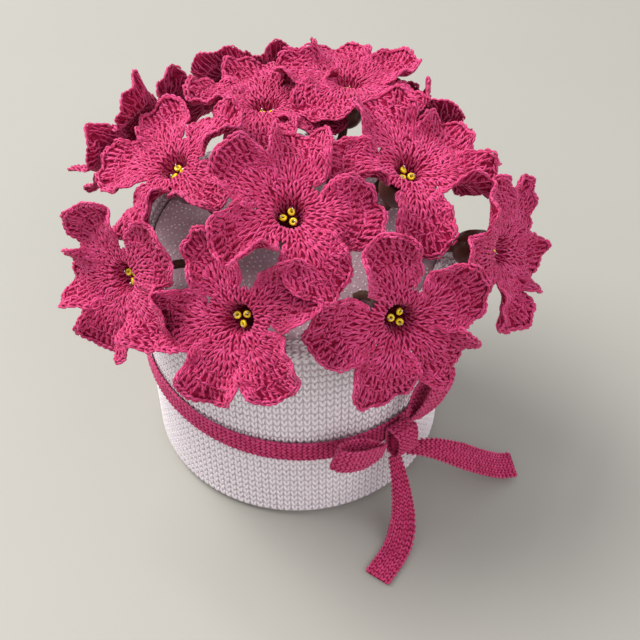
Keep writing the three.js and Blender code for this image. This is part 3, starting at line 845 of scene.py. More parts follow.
@dataclass
class Corolla:
    """One crocheted flower: rounds of stitches down the tube and out over five ruffled petals.

    Sizes are in millimetres on the flower's own axes, with its throat at the origin.
    """

    bloom: Bloom
    number: int
    throat: float = 5.4
    half_width: float = 10.8
    end_radius: float = 9.0
    sweep: float = math.radians(153)
    notch_margin: float = math.radians(1.5)
    shoulder: float = 0.93
    mean_lift: float = 14.0
    mean_curl: float = -30.0
    curl_per_lift: float = 1.25
    middle: float = -0.6
    yarn: float = 0.335
    foot: float = 8.8
    corner: float = 0.13
    web: float = 0.13
    shortest: float = 0.9
    jog: float = 0.15
    roll: float = 1.2
    most_roll: float = 108.0
    free_roll: float = 35.0
    free_tip: float = 12.0
    ruffle_range: tuple[float, float] = (1.35, 1.9)
    frill: float = 0.85
    rim: float = 0.8
    dish: float = 0.8
    funnel: tuple[tuple[float, ...], ...] = (
        (0.0, 1.2, 3.9, 10.0),
        (5.4, 4.8, 4.2, 3.0),
        (0.0, -0.9, -3.5, -9.5),
    )

    def __post_init__(self) -> None:
        """Works out each petal's share of the flower, and draws its ruffles."""
        self.random = np.random.default_rng(700 + self.number)
        draw = self.random.uniform
        petals, loose = self.bloom.petals, self.bloom.loose
        self.directions = np.radians([petal.direction for petal in petals])
        self.lifts = np.array([petal.lift for petal in petals], float)
        gap = np.mod(np.roll(self.directions, -1) - self.directions, 2 * math.pi)
        self.after = gap / 2
        self.before = np.roll(gap, 1) / 2
        most = self.most_roll
        free, tip = self.free_roll, self.free_tip
        left = self.roll * np.array([petal.left for petal in petals]) + draw(-free, free, PETALS) * loose
        self.left = np.clip(left, -most, most)
        right = self.roll * np.array([petal.right for petal in petals]) + draw(-free, free, PETALS) * loose
        self.right = np.clip(right, -most, most)
        self.tips = np.array([petal.tip for petal in petals]) + draw(-tip, tip, PETALS) * loose
        self.ruffles = np.array([petal.ruffle for petal in petals]) * draw(*self.ruffle_range, PETALS)
        self.waves = draw(1.9, 3.1, PETALS)
        self.phases = draw(0, 2 * math.pi, PETALS)
        self.frills = draw(6.0, 9.0, PETALS)
        self.frill_phases = draw(0, 2 * math.pi, PETALS)
        self.bumps = draw(-1, 1, (PETALS, 4))
        self.basket = Basket()
        direction, lean = (math.radians(value) for value in self.bloom.face)
        self.turn = np.array(Matrix.Rotation(direction, 3, "Z") @ Matrix.Rotation(lean, 3, "Y"))

    def world(self, points: np.ndarray) -> np.ndarray:
        """Takes points from the flower's own millimetres to their place in metres."""
        return (points @ self.turn.T + np.array(self.bloom.at)) * MM

    def petal_at(self, theta: np.ndarray) -> np.ndarray:
        """Which petal each direction falls in."""
        away = np.mod(theta[..., None] - self.directions + math.pi, 2 * math.pi) - math.pi
        share = np.where(away < 0, -away / self.before, away / self.after)
        return share.argmin(axis=-1)

    def notch(self, half: np.ndarray, width: np.ndarray) -> tuple[np.ndarray, np.ndarray]:
        """Where a petal's side starts, along and across the petal."""
        along = self.bloom.reach - self.end_radius + self.end_radius * math.cos(self.sweep)
        across = self.half_width * math.sin(self.sweep)
        return along, width * np.minimum(across, along * np.tan(half - self.notch_margin))

    def sheet(self, xy: np.ndarray, petal: int | None = None) -> np.ndarray:
        """The middle of the fabric over a point of the flat flower.

        Args:
            xy: flat points, where distance from the middle counts along the petal.
            petal: the petal that all the points belong to, or none to find each point's own.

        Returns:
            The points in the flower's own space.
        """
        radius = np.hypot(xy[..., 0], xy[..., 1])
        theta = np.arctan2(xy[..., 1], xy[..., 0])
        index = self.petal_at(theta) if petal is None else np.full(theta.shape, petal)
        away = np.mod(theta - self.directions[index] + math.pi, 2 * math.pi) - math.pi
        half = np.where(away < 0, self.before[index], self.after[index])
        beside = np.where(away < 0, (index - 1) % PETALS, (index + 1) % PETALS)
        shared = 0.5 * smooth(np.abs(away) / half, 0.55, 1.0)
        lift = self.lifts[index] * (1 - shared) + self.lifts[beside] * shared
        share = np.maximum(radius - self.throat, 0.0) / (self.bloom.reach - self.throat)
        slope = np.radians(lift + 0.5 * self.curl(lift) * share)
        run = share * (self.bloom.reach - self.throat)
        flat = np.minimum(radius, self.throat) + run * np.cos(slope)
        ring = np.stack([flat * np.cos(away), flat * np.sin(away), run * np.sin(slope)], axis=-1)
        free = smooth(radius, 8.0, 13.0)[..., None]
        folded = self.folded(index, radius * np.cos(away), radius * np.sin(away))
        own = ring * (1 - free) + folded * free
        cos, sin = np.cos(self.directions[index]), np.sin(self.directions[index])
        x, y = own[..., 0] * cos - own[..., 1] * sin, own[..., 0] * sin + own[..., 1] * cos
        return np.stack([x, y, own[..., 2] + self.middle], axis=-1)

    def curl(self, lift: np.ndarray) -> np.ndarray:
        """How far a petal bends down from its throat to its tip, in degrees, by its lift."""
        return self.mean_curl + self.curl_per_lift * (lift - self.mean_lift)

    def folded(self, index: np.ndarray, along: np.ndarray, across: np.ndarray) -> np.ndarray:
        """A petal's own bends: its tip, its rolled edges and its ruffles.

        Args:
            index: the petal.
            along: flat places along it.
            across: flat places across it.

        Returns:
            The points on the petal's own axes.
        """
        share = np.maximum(along - self.throat, 0.0) / (self.bloom.reach - self.throat)
        lift, tip = self.lifts[index], self.tips[index] * smooth(share, 0.3, 1.1)
        mean = np.radians(lift + 0.5 * self.curl(lift) * share + 0.5 * tip)
        steep = np.radians(lift + self.curl(lift) * share + tip)
        run = share * (self.bloom.reach - self.throat)
        edge = np.where(across > 0, self.left[index], self.right[index])
        bend = np.radians(edge) * np.abs(across) / self.half_width * smooth(along, 8.5, 16.0)
        bend = np.where(np.abs(bend) < 1e-4, 1e-4, bend)
        side = across * np.sin(bend) / bend
        up = np.abs(across) * (1 - np.cos(bend)) / bend + self.relief(index, along, across)
        x = np.minimum(along, self.throat) + run * np.cos(mean) - up * np.sin(steep)
        return np.stack([x, side, run * np.sin(mean) + up * np.cos(steep)], axis=-1)

    def relief(self, index: np.ndarray, along: np.ndarray, across: np.ndarray) -> np.ndarray:
        """How a petal ruffles, dishes and lifts its rim, above its plain bend."""
        east = (along - (self.bloom.reach - self.end_radius)) / self.end_radius
        north = across / self.half_width
        rho, turn = np.hypot(east, north), np.arctan2(north, east)
        window = np.clip(1 - (np.abs(turn) / self.sweep) ** 6, 0.0, 1.0)
        outer = smooth(rho, 0.15, 1.0)
        wave = self.ruffles[index] * np.sin(self.waves[index] * turn + self.phases[index])
        frill = self.frill * np.sin(self.frills[index] * turn + self.frill_phases[index])
        rim = np.minimum(self.rim * rho**4, 1.1)
        dish = -self.dish * np.maximum(1 - rho * rho, 0.0)
        return window * (outer * wave + outer**2 * frill + rim + dish)

    def over(self, xy: np.ndarray, up: np.ndarray, petal: int | None = None) -> np.ndarray:
        """Points above the fabric's middle by up, along its normal."""
        step = 0.05
        centre = self.sheet(xy, petal)
        east = self.sheet(xy + np.array([step, 0.0]), petal) - centre
        north = self.sheet(xy + np.array([0.0, step]), petal) - centre
        normal = np.cross(east, north)
        normal /= np.linalg.norm(normal, axis=-1, keepdims=True)
        return centre + normal * up[..., None]

    def inside(self, theta: np.ndarray, depth: np.ndarray, up: np.ndarray) -> np.ndarray:
        """Points of the tube: round by theta, and down by depth along its wall."""
        radius = np.interp(depth, self.funnel[0], self.funnel[1]) - up
        height = np.interp(depth, self.funnel[0], self.funnel[2]) + self.middle
        return np.stack([radius * np.cos(theta), radius * np.sin(theta), height], axis=-1)

    def lay(self, foot: np.ndarray, top: np.ndarray, lays: tuple[Lay, ...], petal: int | None = None,
            width: float = 1.0, tube: bool = False) -> None:
        """Lays the strands of a row of stitches, each a little off.

        Args:
            foot: where each stitch starts, as flat points, or as angle and depth in the tube.
            top: where each ends.
            lays: the strands of one stitch.
            petal: the petal that the row belongs to, or none.
            width: a share of the stitch's width.
            tube: whether the row is in the tube.
        """
        draw = self.random.uniform
        count = len(foot)
        reach = top - foot
        length = np.maximum(np.linalg.norm(reach, axis=-1, keepdims=True), 1e-6)
        side = np.stack([-reach[:, 1], reach[:, 0]], axis=-1) / length
        lean = draw(-0.28, 0.28, (count, 1, 1))
        for lay in lays:
            along = np.array(lay.along)[None, :, None] + draw(-0.05, 0.05, (count, 1, 1))
            aside = np.array(lay.side)[None, :, None] * width * draw(0.7, 1.3, (count, 1, 1))
            aside = aside + lean * (along - 0.5) * length[:, None, :]
            up = np.array(lay.up)[None, :] * draw(0.7, 1.35, (count, 1))
            if tube:
                around = np.interp(foot[:, 1], self.funnel[0], self.funnel[1])[:, None, None]
                theta = foot[:, None, 0:1] + reach[:, None, 0:1] * along - aside / around
                depth = foot[:, None, 1:2] + reach[:, None, 1:2] * along
                points = self.inside(theta[..., 0], depth[..., 0], up)
            else:
                flat = foot[:, None, :] + reach[:, None, :] * along + side[:, None, :] * aside
                points = self.over(flat, up, petal)
            thick = self.yarn * np.array(lay.girth)[None, :] * draw(0.9, 1.1, (count, 1))
            self.basket.add(self.world(points), thick * MM, draw(0, 1, count))

    def rounds(self) -> None:
        """The rounds in the tube and out to where the petals part."""
        for count, low, high in TUBE_ROUNDS:
            theta = self.spread(count)
            foot = np.stack([theta, np.full(count, low)], axis=-1)
            top = np.stack([theta, np.full(count, high)], axis=-1)
            self.lay(foot, top, (TUBE_LEFT, TUBE_RIGHT), tube=True)
        for count, low, high in THROAT_ROUNDS:
            theta = self.spread(count)
            ring = np.stack([np.cos(theta), np.sin(theta)], axis=-1)
            self.lay(ring * low, ring * high, VEES, width=1.05)

    def spread(self, count: int) -> np.ndarray:
        """Angles spread evenly round the flower, each a little off."""
        step = 2 * math.pi / count
        angles = np.arange(count) * step + self.random.uniform(-self.jog, self.jog, count) * step
        return angles + self.random.uniform(0, step)

    def between(self, index: int, turns: np.ndarray, share: float) -> np.ndarray:
        """Flat points of a petal, from its foot (share 0) to its outline (share 1).

        Args:
            index: the petal.
            turns: how far round its wide end, in radians.
            share: how far out.

        Returns:
            The points.
        """
        petal = self.bloom.petals[index]
        half = np.where(turns < 0, self.before[index], self.after[index])
        along, across = self.notch(half, petal.width)
        narrow = across / (self.half_width * math.sin(self.sweep))
        bumps = self.bumps[index]
        grow = 1 + 0.035 * bumps[0] * np.sin(3 * turns + 3 * bumps[1])
        grow = grow + 0.03 * bumps[2] * np.sin(5 * turns + 3 * bumps[3])
        grow = grow + self.corner * np.exp(-(((np.abs(turns) - 0.85) / 0.42) ** 2))
        drawn = petal.point * np.exp(-((turns / 0.38) ** 2))
        x = self.bloom.reach - self.end_radius + (self.end_radius * grow + drawn) * np.cos(turns)
        y = self.half_width * narrow * grow * np.sin(turns)
        foot = np.arctan2(across, along) * turns / self.sweep
        x = self.foot * np.cos(foot) * (1 - share) + x * share
        y = self.foot * np.sin(foot) * (1 - share) + y * share
        cos, sin = math.cos(self.directions[index]), math.sin(self.directions[index])
        return np.stack([x * cos - y * sin, x * sin + y * cos], axis=-1)

    def even_turns(self, index: int, pitch: float, share: float) -> np.ndarray:
        """Turns that space stitches evenly along a row of a petal."""
        fine = np.linspace(-self.sweep, self.sweep, 181)
        row = self.between(index, fine, share)
        run = run_along(row)
        count = round(run[-1] / pitch)
        wanted = (np.arange(count) + 0.5 + self.random.uniform(-self.jog, self.jog, count)) / count * run[-1]
        return np.interp(wanted, run, fine)

    def row(self, index: int, row: Row) -> None:
        """Lays a row of stitches across a petal."""
        turns = self.even_turns(index, row.pitch, (row.low + row.high) / 2)
        foot, top = self.between(index, turns, row.low), self.between(index, turns, row.high)
        tall = np.linalg.norm(top - foot, axis=-1) > self.shortest
        self.lay(foot[tall], top[tall], row.lays, index, row.width)

    def braid(self, index: int, braid: Braid) -> None:
        """Lays a braid of chain stitches along a petal."""
        turns = self.even_turns(index, braid.pitch, braid.share)
        after = np.append(turns[1:], 2 * turns[-1] - turns[-2])
        keep = slice(braid.skip, len(turns) - braid.skip)
        foot, top = (self.between(index, ends, braid.share)[keep] for ends in (turns, after))
        self.lay(foot, top, braid.lays, index)

    def petal(self, index: int) -> None:
        """A petal: three rows of V stitches, two of tall stitches with braids between, and its rim."""
        for part in PETAL_ROWS:
            if isinstance(part, Row):
                self.row(index, part)
            else:
                self.braid(index, part)

    def web_mesh(self, material: bpy.types.Material) -> bpy.types.Mesh:
        """The thin fabric between the strands: one closed sheet from the tube's end to the rims."""
        shares = np.linspace(-1, 1, 19)
        thetas, limbs = [], []
        outward_shares = (0.1, 0.22, 0.36, 0.5, 0.64, 0.78, 0.88, 0.965)
        for index in range(PETALS):
            half = np.where(shares < 0, self.before[index], self.after[index])
            theta = self.directions[index] + self.shoulder * shares * half
            base = self.throat * np.stack([np.cos(theta), np.sin(theta)], axis=-1)
            thetas.append(theta)
            middle = self.between(index, shares * self.sweep, 0.0)
            rows = [(base + (middle - base) * part, None) for part in (0.25, 0.65)]
            rows += [(self.between(index, shares * self.sweep, share), index) for share in outward_shares]
            limbs.append(rows)
        theta = np.concatenate(thetas)

        def rings(up: float) -> list[np.ndarray]:
            """One side of the sheet, from the tube's end outwards."""
            lift = np.full(len(theta), up)
            tube = [self.inside(theta, np.full(len(theta), depth), lift) for depth in TUBE_DEPTHS]
            out = []
            for k in range(len(limbs[0])):
                parts = [self.over(rows[k][0], np.full(len(shares), up), rows[k][1]) for rows in limbs]
                out.append(np.concatenate(parts))
            return tube + out

        layers = rings(self.web) + rings(-self.web)[::-1]
        count = len(theta)
        ends = [np.array([[0.0, 0.0, layer[:, 2].mean()]]) for layer in (layers[0], layers[-1])]
        points = np.concatenate([ends[0], *layers, ends[1]])
        faces = []
        last = len(points) - 1
        for i in range(count):
            after = (i + 1) % count
            faces.append((0, 1 + i, 1 + after))
            for r in range(len(layers) - 1):
                low, high = 1 + r * count, 1 + (r + 1) * count
                faces.append((low + i, high + i, high + after, low + after))
            top = 1 + (len(layers) - 1) * count
            faces.append((top + i, last, top + after))
        return mesh_of("web", self.world(points), faces, material)

    def build(self, shop: Workshop) -> bpy.types.Object:
        """Crochets the flower as one piece."""
        self.rounds()
        for index in range(PETALS):
            self.petal(index)
        name = f"crocheted_petunia_{self.number}"
        meshes = self.basket.spun(name, shop, {3: 4, 4: 5 if self.number < 8 else 4}, shop.petal)
        piece = joined(name, [*meshes, self.web_mesh(shop.petal_web_shade)])
        return installed(piece, Slot.PETAL, f"corolla_{self.number}")


@dataclass
class Backing:
    """What holds a flower: its lacquered cup, its wrapped stem, and the beads in its throat."""

    corolla: Corolla
    cup: tuple[tuple[float, float], ...] = (
        (0.0, -15.0), (2.2, -15.0), (3.4, -14.5), (4.4, -13.6), (5.2, -12.2), (5.65, -10.6),
        (5.8, -8.5), (5.8, -6.3), (5.68, -5.8), (5.4, -5.5), (5.12, -5.65), (5.0, -6.0),
        (4.6, -8.5), (4.3, -10.9), (0.0, -10.9),
    )
    foam_edge: float = 81.0
    foam_crown: float = 85.5
    bury: float = 24.0
    lean: float = 0.5
    run_out: float = 9.0
    upright: float = 3.0
    cup_end: float = 15.3
    stem_radius: float = 1.4
    wrap_pitch: float = 2.4
    bead_radius: float = 1.12
    bead_hole: float = 0.35
    bead_ring: float = 1.7
    bead_depth: float = 3.6
    wire_radius: float = 0.16
    wire_steps: int = 22

    def build_cup(self, shop: Workshop) -> bpy.types.Object:
        """Turns the cup, with a rounded lip."""
        points, faces = turned(list(self.cup), 32)
        mesh = mesh_of("cup", self.corolla.world(points), faces, shop.calyx)
        piece = joined(f"brown_cup_{self.corolla.number}", [mesh])
        return installed(piece, Slot.CALYX, f"calyx_{self.corolla.number}")

    def stem_path(self, count: int) -> np.ndarray:
        """The stem's route: straight back out of the cup, then down and upright into the foam."""
        throat = np.array(self.corolla.bloom.at, float)
        facing = self.corolla.turn @ np.array([0.0, 0.0, 1.0])
        start = throat - facing * self.cup_end
        foot = np.array([throat[0] * self.lean, throat[1] * self.lean, self.foam_edge - self.bury])
        control = start - facing * self.run_out
        upright = np.array([foot[0], foot[1], self.foam_crown + self.upright])
        t = np.linspace(0, 1, count)[:, None]
        near = (1 - t) ** 3 * start + 3 * (1 - t) ** 2 * t * control
        return (near + 3 * (1 - t) * t * t * upright + t**3 * foot) * MM

    def build_stem(self, shop: Workshop) -> bpy.types.Object:
        """Wraps the wire in paper tape, which shows as shallow turns along it."""
        path = self.stem_path(81)
        run = run_along(path)
        ridge = np.mod(run / (self.wrap_pitch * MM), 1.0)
        girth = self.stem_radius * MM * (0.95 + 0.06 * ridge)
        guide = lines_of("stem", path[None], girth[None], np.array([0.5]))
        name = f"wrapped_stem_{self.corolla.number}"
        mesh = shop.strands.run(name, guide, {"Sides": 10, "Yarn": shop.stem})
        return installed(joined(name, [mesh]), Slot.STEM, f"stem_{self.corolla.number}")

    def bead(self, angle: float) -> tuple[np.ndarray, list]:
        """A seed bead: a thick ring with a small hole, tipped outwards."""
        tube = (self.bead_radius - self.bead_hole) / 2
        around, across = 18, 10
        points, faces = [], []
        for i in range(around):
            for j in range(across):
                a, b = 2 * math.pi * i / around, 2 * math.pi * j / across
                radius = self.bead_hole + tube + tube * math.cos(b)
                points.append((radius * math.cos(a), radius * math.sin(a), 1.25 * tube * math.sin(b)))
                after, up = (i + 1) % around, (j + 1) % across
                faces.append((i * across + j, after * across + j, after * across + up, i * across + up))
        tilt = Matrix.Rotation(angle, 3, "Z") @ Matrix.Rotation(math.radians(25), 3, "X")
        ring = self.bead_ring
        centre = np.array([ring * math.cos(angle), ring * math.sin(angle), -self.bead_depth])
        return np.array(points) @ np.array(tilt).T + centre, faces

    def wire(self, angle: float) -> np.ndarray:
        """A wire's route: up outside its bead, over, down through the hole, and back to the twist."""
        ring, depth = self.bead_ring, self.bead_depth
        route = [
            (0.5, -9.2), (ring + 0.9, -depth - 2.0), (ring + 1.3, -depth), (ring + 0.95, -depth + 1.0),
            (ring + 0.3, -depth + 1.15), (ring, -depth), (ring - 0.2, -depth - 1.2), (0.3, -9.2),
        ]
        points = [(r * math.cos(angle), r * math.sin(angle), z) for r, z in route]
        return self.corolla.world(spline(points, self.wire_steps) / MM)

    def build_stamens(self, shop: Workshop) -> bpy.types.Object:
        """Strings three beads on looped wires that rise from one twist."""
        meshes, routes = [], []
        for i in range(3):
            angle = 2 * math.pi * i / 3 + 0.4
            points, faces = self.bead(angle)
            meshes.append(mesh_of("bead", self.corolla.world(points), faces, shop.bead))
            routes.append(self.wire(angle))
        girths = np.full((3, self.wire_steps), self.wire_radius * MM)
        guide = lines_of("wires", np.array(routes), girths, np.zeros(3))
        name = f"beaded_stamens_{self.corolla.number}"
        meshes.append(shop.strands.run(name, guide, {"Sides": 6, "Yarn": shop.wire}))
        return installed(joined(name, meshes), Slot.BEAD, f"stamens_{self.corolla.number}")


@dataclass
class KnittedPot:
    """The pot: the cover's cloth and knitted face, the turned hem, and the foam inside. Sizes in mm."""

    radius: float = 50.0
    height: float = 83.0
    hem_radius: float = 50.8
    hem_height: float = 4.0
    flange_radius: float = 44.9
    flange_depth: float = 6.5
    columns: int = 134
    rows: int = 27
    stitch: tuple[float, float, float] = (0.52, 0.52, 1.72)
    stitch_tilt: float = 15.0
    braid: tuple[float, float, float] = (0.5, 0.5, 1.5)
    cloth: float = 0.9
    foam_radius: float = 44.6
    foam_edge: float = 81.0
    foam_crown: float = 85.5
    # White specks on the foam: painted glints.
    specks: int = 1500
    speck_sizes: tuple[float, float] = (0.26, 0.46)
    floor: float = 4.0

    def build_cloth(self, shop: Workshop) -> bpy.types.Object:
        """The fabric behind the stitches: a bag with a flat base, a wall, and a rim turned in."""
        outer, hem = self.radius - 0.55, self.hem_radius - 0.6
        foot, top, flange = self.height - self.hem_height, self.height - 0.5, self.flange_radius + 0.5
        profile = [
            (0, 0.25), (47.5, 0.25), (48.6, 0.5), (49.2, 1.2), (outer, 2.4), (outer, foot), (hem, foot + 0.8),
            (hem, top - 0.9), (hem - 1.0, top), (flange + 1.0, top), (flange, top - 0.9),
            (flange, self.height - self.flange_depth), (flange + 0.8, self.height - self.flange_depth),
            (flange + 0.8, top - 1.6), (outer - self.cloth, top - 1.6), (outer - self.cloth, 1.9), (0, 1.9),
        ]
        points, faces = turned(profile, self.columns)
        piece = joined("knitted_cover_cloth", [mesh_of("cloth", points * MM, faces, shop.cover_web_shade)])
        return installed(piece, Slot.COVER, "pot_cover")

    def build_face(self, shop: Workshop) -> bpy.types.Object:
        """The rows of V stitches on the wall."""
        foot, top = 1.9, self.height - self.hem_height + 0.3
        values = {
            "Columns": self.columns,
            "Rows": self.rows,
            "Radius": (self.radius - 0.5) * MM,
            "Foot": foot * MM,
            "Row pitch": (top - foot) / self.rows * MM,
            "Half thickness": self.stitch[0] * MM,
            "Half width": self.stitch[1] * MM,
            "Half length": self.stitch[2] * MM,
            "Tilt": math.radians(self.stitch_tilt),
            "Seed": 11,
            "Yarn": shop.cover,
        }
        start = bpy.data.meshes.new("start")
        mesh = shop.knit.run("knitted_cover_stitches", start, values)
        return installed(joined("knitted_cover_stitches", [mesh]), Slot.COVER)

    def build_hem(self, shop: Workshop) -> bpy.types.Object:
        """The hem: two braided rounds outside, two on top, and two down the turned-in rim."""
        random = np.random.default_rng(5)
        stitches = Stitches()
        outside, over, inside = self.hem_radius - 0.35, self.height - 0.5, self.flange_radius + 0.45
        rounds = (
            (outside, self.height - 3.1, 0.0),
            (outside, self.height - 1.5, 0.0),
            (self.hem_radius - 1.6, over, 90.0),
            (self.flange_radius + 2.0, over, 90.0),
            (inside, self.height - 2.2, 180.0),
            (inside, self.height - 4.4, 180.0),
        )
        size = tuple(value * MM for value in self.braid)
        for radius, height, face in rounds:
            for i in range(self.columns):
                for side in (-1, 1):
                    angle = 2 * math.pi * (i + 0.25 + random.uniform(-0.04, 0.04)) / self.columns
                    radial = Vector((math.cos(angle), math.sin(angle), 0))
                    ahead = Vector((-math.sin(angle), math.cos(angle), 0))
                    tilt = math.radians(face)
                    out = radial * math.cos(tilt) + Vector((0, 0, 1)) * math.sin(tilt)
                    across = out.cross(ahead)
                    along = ahead + across * (0.5 * side)
                    place = radial * radius + Vector((0, 0, height)) + across * (0.42 * side)
                    stitches.put(place * MM, along.normalized(), out, size, random.uniform(0, 1))
        values = {"Sides": 5, "Rings": 3, "Yarn": shop.cover}
        mesh = shop.stitches.run("cover_hem", points_of("cover_hem", stitches), values)
        return installed(joined("cover_hem_braid", [mesh]), Slot.COVER)

    def foam_height(self, radius: float) -> float:
        """The foam's top at a distance from the middle."""
        spots = [share * self.foam_radius for share in (0.0, 0.3, 0.6, 0.85, 1.0)]
        crown = self.foam_crown
        heights = (crown, crown - 0.3, crown - 1.3, self.foam_edge + 1.2, self.foam_edge)
        return float(np.interp(radius, spots, heights)) - 0.1

    def build_foam(self, shop: Workshop) -> bpy.types.Object:
        """The foam block: a soft dome pressed in round the rim, with pale beads in its skin that stand as
        painted glints.
        """
        rim = self.foam_radius
        profile = [(0, self.floor), (rim, self.floor), (rim, self.foam_edge - 0.9)]
        shares = (0.985, 0.93, 0.85, 0.75, 0.6, 0.45, 0.3, 0.15, 0.0)
        profile += [(rim * share, self.foam_height(rim * share)) for share in shares]
        points, faces = turned(profile, 72)
        body = mesh_of("foam", points * MM, faces, shop.foam)
        random = np.random.default_rng(9)
        stitches = Stitches()
        up, ahead = Vector((0, 0, 1)), Vector((1, 0, 0))
        for i in range(self.specks):
            radius = (rim - 0.8) * math.sqrt((i + random.uniform(0.1, 0.9)) / self.specks)
            angle = i * math.pi * (3 - math.sqrt(5)) + random.uniform(-0.03, 0.03)
            place = Vector((radius * math.cos(angle), radius * math.sin(angle), self.foam_height(radius)))
            size = random.uniform(*self.speck_sizes) * MM
            stitches.put(place * MM, up, ahead, (size, size, 0.6 * size), random.uniform(0, 1))
        values = {"Sides": 5, "Rings": 3, "Yarn": shop.foam_glint_bead}
        beads = shop.stitches.run("foam_glint_beads", points_of("foam_glint_beads", stitches), values)
        return installed(joined("foam_block", [beads, body]), Slot.FOAM, "foam_insert")


@dataclass
class Strap:
    """A crocheted strap: a thin web along a route, with rows of V stitches that show on both faces.

    centres, across and out are arrays of one row per step, in metres; across and out are unit
    vectors, and widths are shares of the strap's full width.
    """

    name: str
    centres: np.ndarray
    across: np.ndarray
    out: np.ndarray
    widths: np.ndarray
    closed: bool
    seed: int
    width: float = 8.4 * MM
    columns: int = 5
    pitch: float = 1.62 * MM
    web: float = 0.25 * MM
    grain: tuple[float, float, float] = (0.62 * MM, 0.47 * MM, 1.08 * MM)
    narrowest: float = 0.7

    def web_mesh(self, material: bpy.types.Material) -> bpy.types.Mesh:
        """The web: a flat tube of four edges along the route."""
        half = (self.widths * (self.width / 2 - 0.45 * MM))[:, None] * self.across
        thick = self.web * self.out
        corners = [self.centres + half + thick, self.centres - half + thick, self.centres - half - thick,
                   self.centres + half - thick]
        steps = len(self.centres)
        points = np.stack(corners, axis=1).reshape(-1, 3)
        faces = []
        for i in range(steps if self.closed else steps - 1):
            low, high = 4 * i, 4 * ((i + 1) % steps)
            faces += [(low + k, low + (k + 1) % 4, high + (k + 1) % 4, high + k) for k in range(4)]
        if not self.closed:
            faces += [(3, 2, 1, 0), tuple(4 * (steps - 1) + k for k in range(4))]
        mesh = mesh_of("web", points, faces, material)
        return outward(mesh)

    def at(self, share: np.ndarray, values: np.ndarray) -> np.ndarray:
        """Reads an array of the route between its steps."""
        steps = len(values)
        if self.closed:
            values = np.concatenate([values, values[:1]])
            steps += 1
        place = share * (steps - 1)
        low = np.minimum(place.astype(int), steps - 2)
        part = (place - low).reshape((-1,) + (1,) * (values.ndim - 1))
        return values[low] * (1 - part) + values[low + 1] * part

    def stitches(self) -> Stitches:
        """Sets V stitches in columns along the strap."""
        random = np.random.default_rng(self.seed)
        path = np.concatenate([self.centres, self.centres[:1]]) if self.closed else self.centres
        run = run_along(path)
        rows = max(4, round(run[-1] / self.pitch))
        wanted = (np.arange(rows) + 0.5) / rows * run[-1]
        share = np.interp(wanted, run, np.linspace(0, 1, len(path)))
        centre, across, out = (self.at(share, values) for values in (self.centres, self.across, self.out))
        thick, wide, long = self.grain
        widths = self.at(share, self.widths)
        ahead = np.cross(out, across)
        made = Stitches()
        for row in range(rows):
            across_way, out_way, ahead_way = Vector(across[row]), Vector(out[row]), Vector(ahead[row])
            for column in range(self.columns):
                for side in (-1, 1):
                    spot = (column + 0.5 + 0.25 * side) / self.columns - 0.5
                    offset = spot * self.width * widths[row]
                    jog = random.uniform(-0.1, 0.1) * self.pitch
                    lift = random.uniform(-0.06, 0.06) * MM
                    place = Vector(centre[row]) + across_way * offset + ahead_way * jog + out_way * lift
                    along = (ahead_way + across_way * (0.42 * side)).normalized()
                    size = (thick, wide * max(widths[row], self.narrowest), long)
                    made.put(place, along, out_way, size, random.uniform(0, 1))
        return made

    def build(self, shop: Workshop, extra: tuple[bpy.types.Mesh, ...] = ()) -> bpy.types.Object:
        """Builds the strap as one piece."""
        values = {"Sides": 5, "Rings": 3, "Yarn": shop.ribbon}
        face = shop.stitches.run(self.name, points_of(self.name, self.stitches()), values)
        return joined(self.name, [face, self.web_mesh(shop.ribbon_web_shade), *extra])


def outward(mesh: bpy.types.Mesh) -> bpy.types.Mesh:
    """Turns a closed mesh's faces outwards."""
    shape = bmesh.new()
    shape.from_mesh(mesh)
    bmesh.ops.recalc_face_normals(shape, faces=shape.faces)
    shape.to_mesh(mesh)
    shape.free()
    return mesh


def unit(vectors: np.ndarray) -> np.ndarray:
    """Vectors of length one."""
    return vectors / np.linalg.norm(vectors, axis=-1, keepdims=True)


def ahead_on_ring(centres: np.ndarray) -> np.ndarray:
    """The way that a closed line runs at each of its points."""
    return unit(np.roll(centres, -1, axis=0) - np.roll(centres, 1, axis=0))


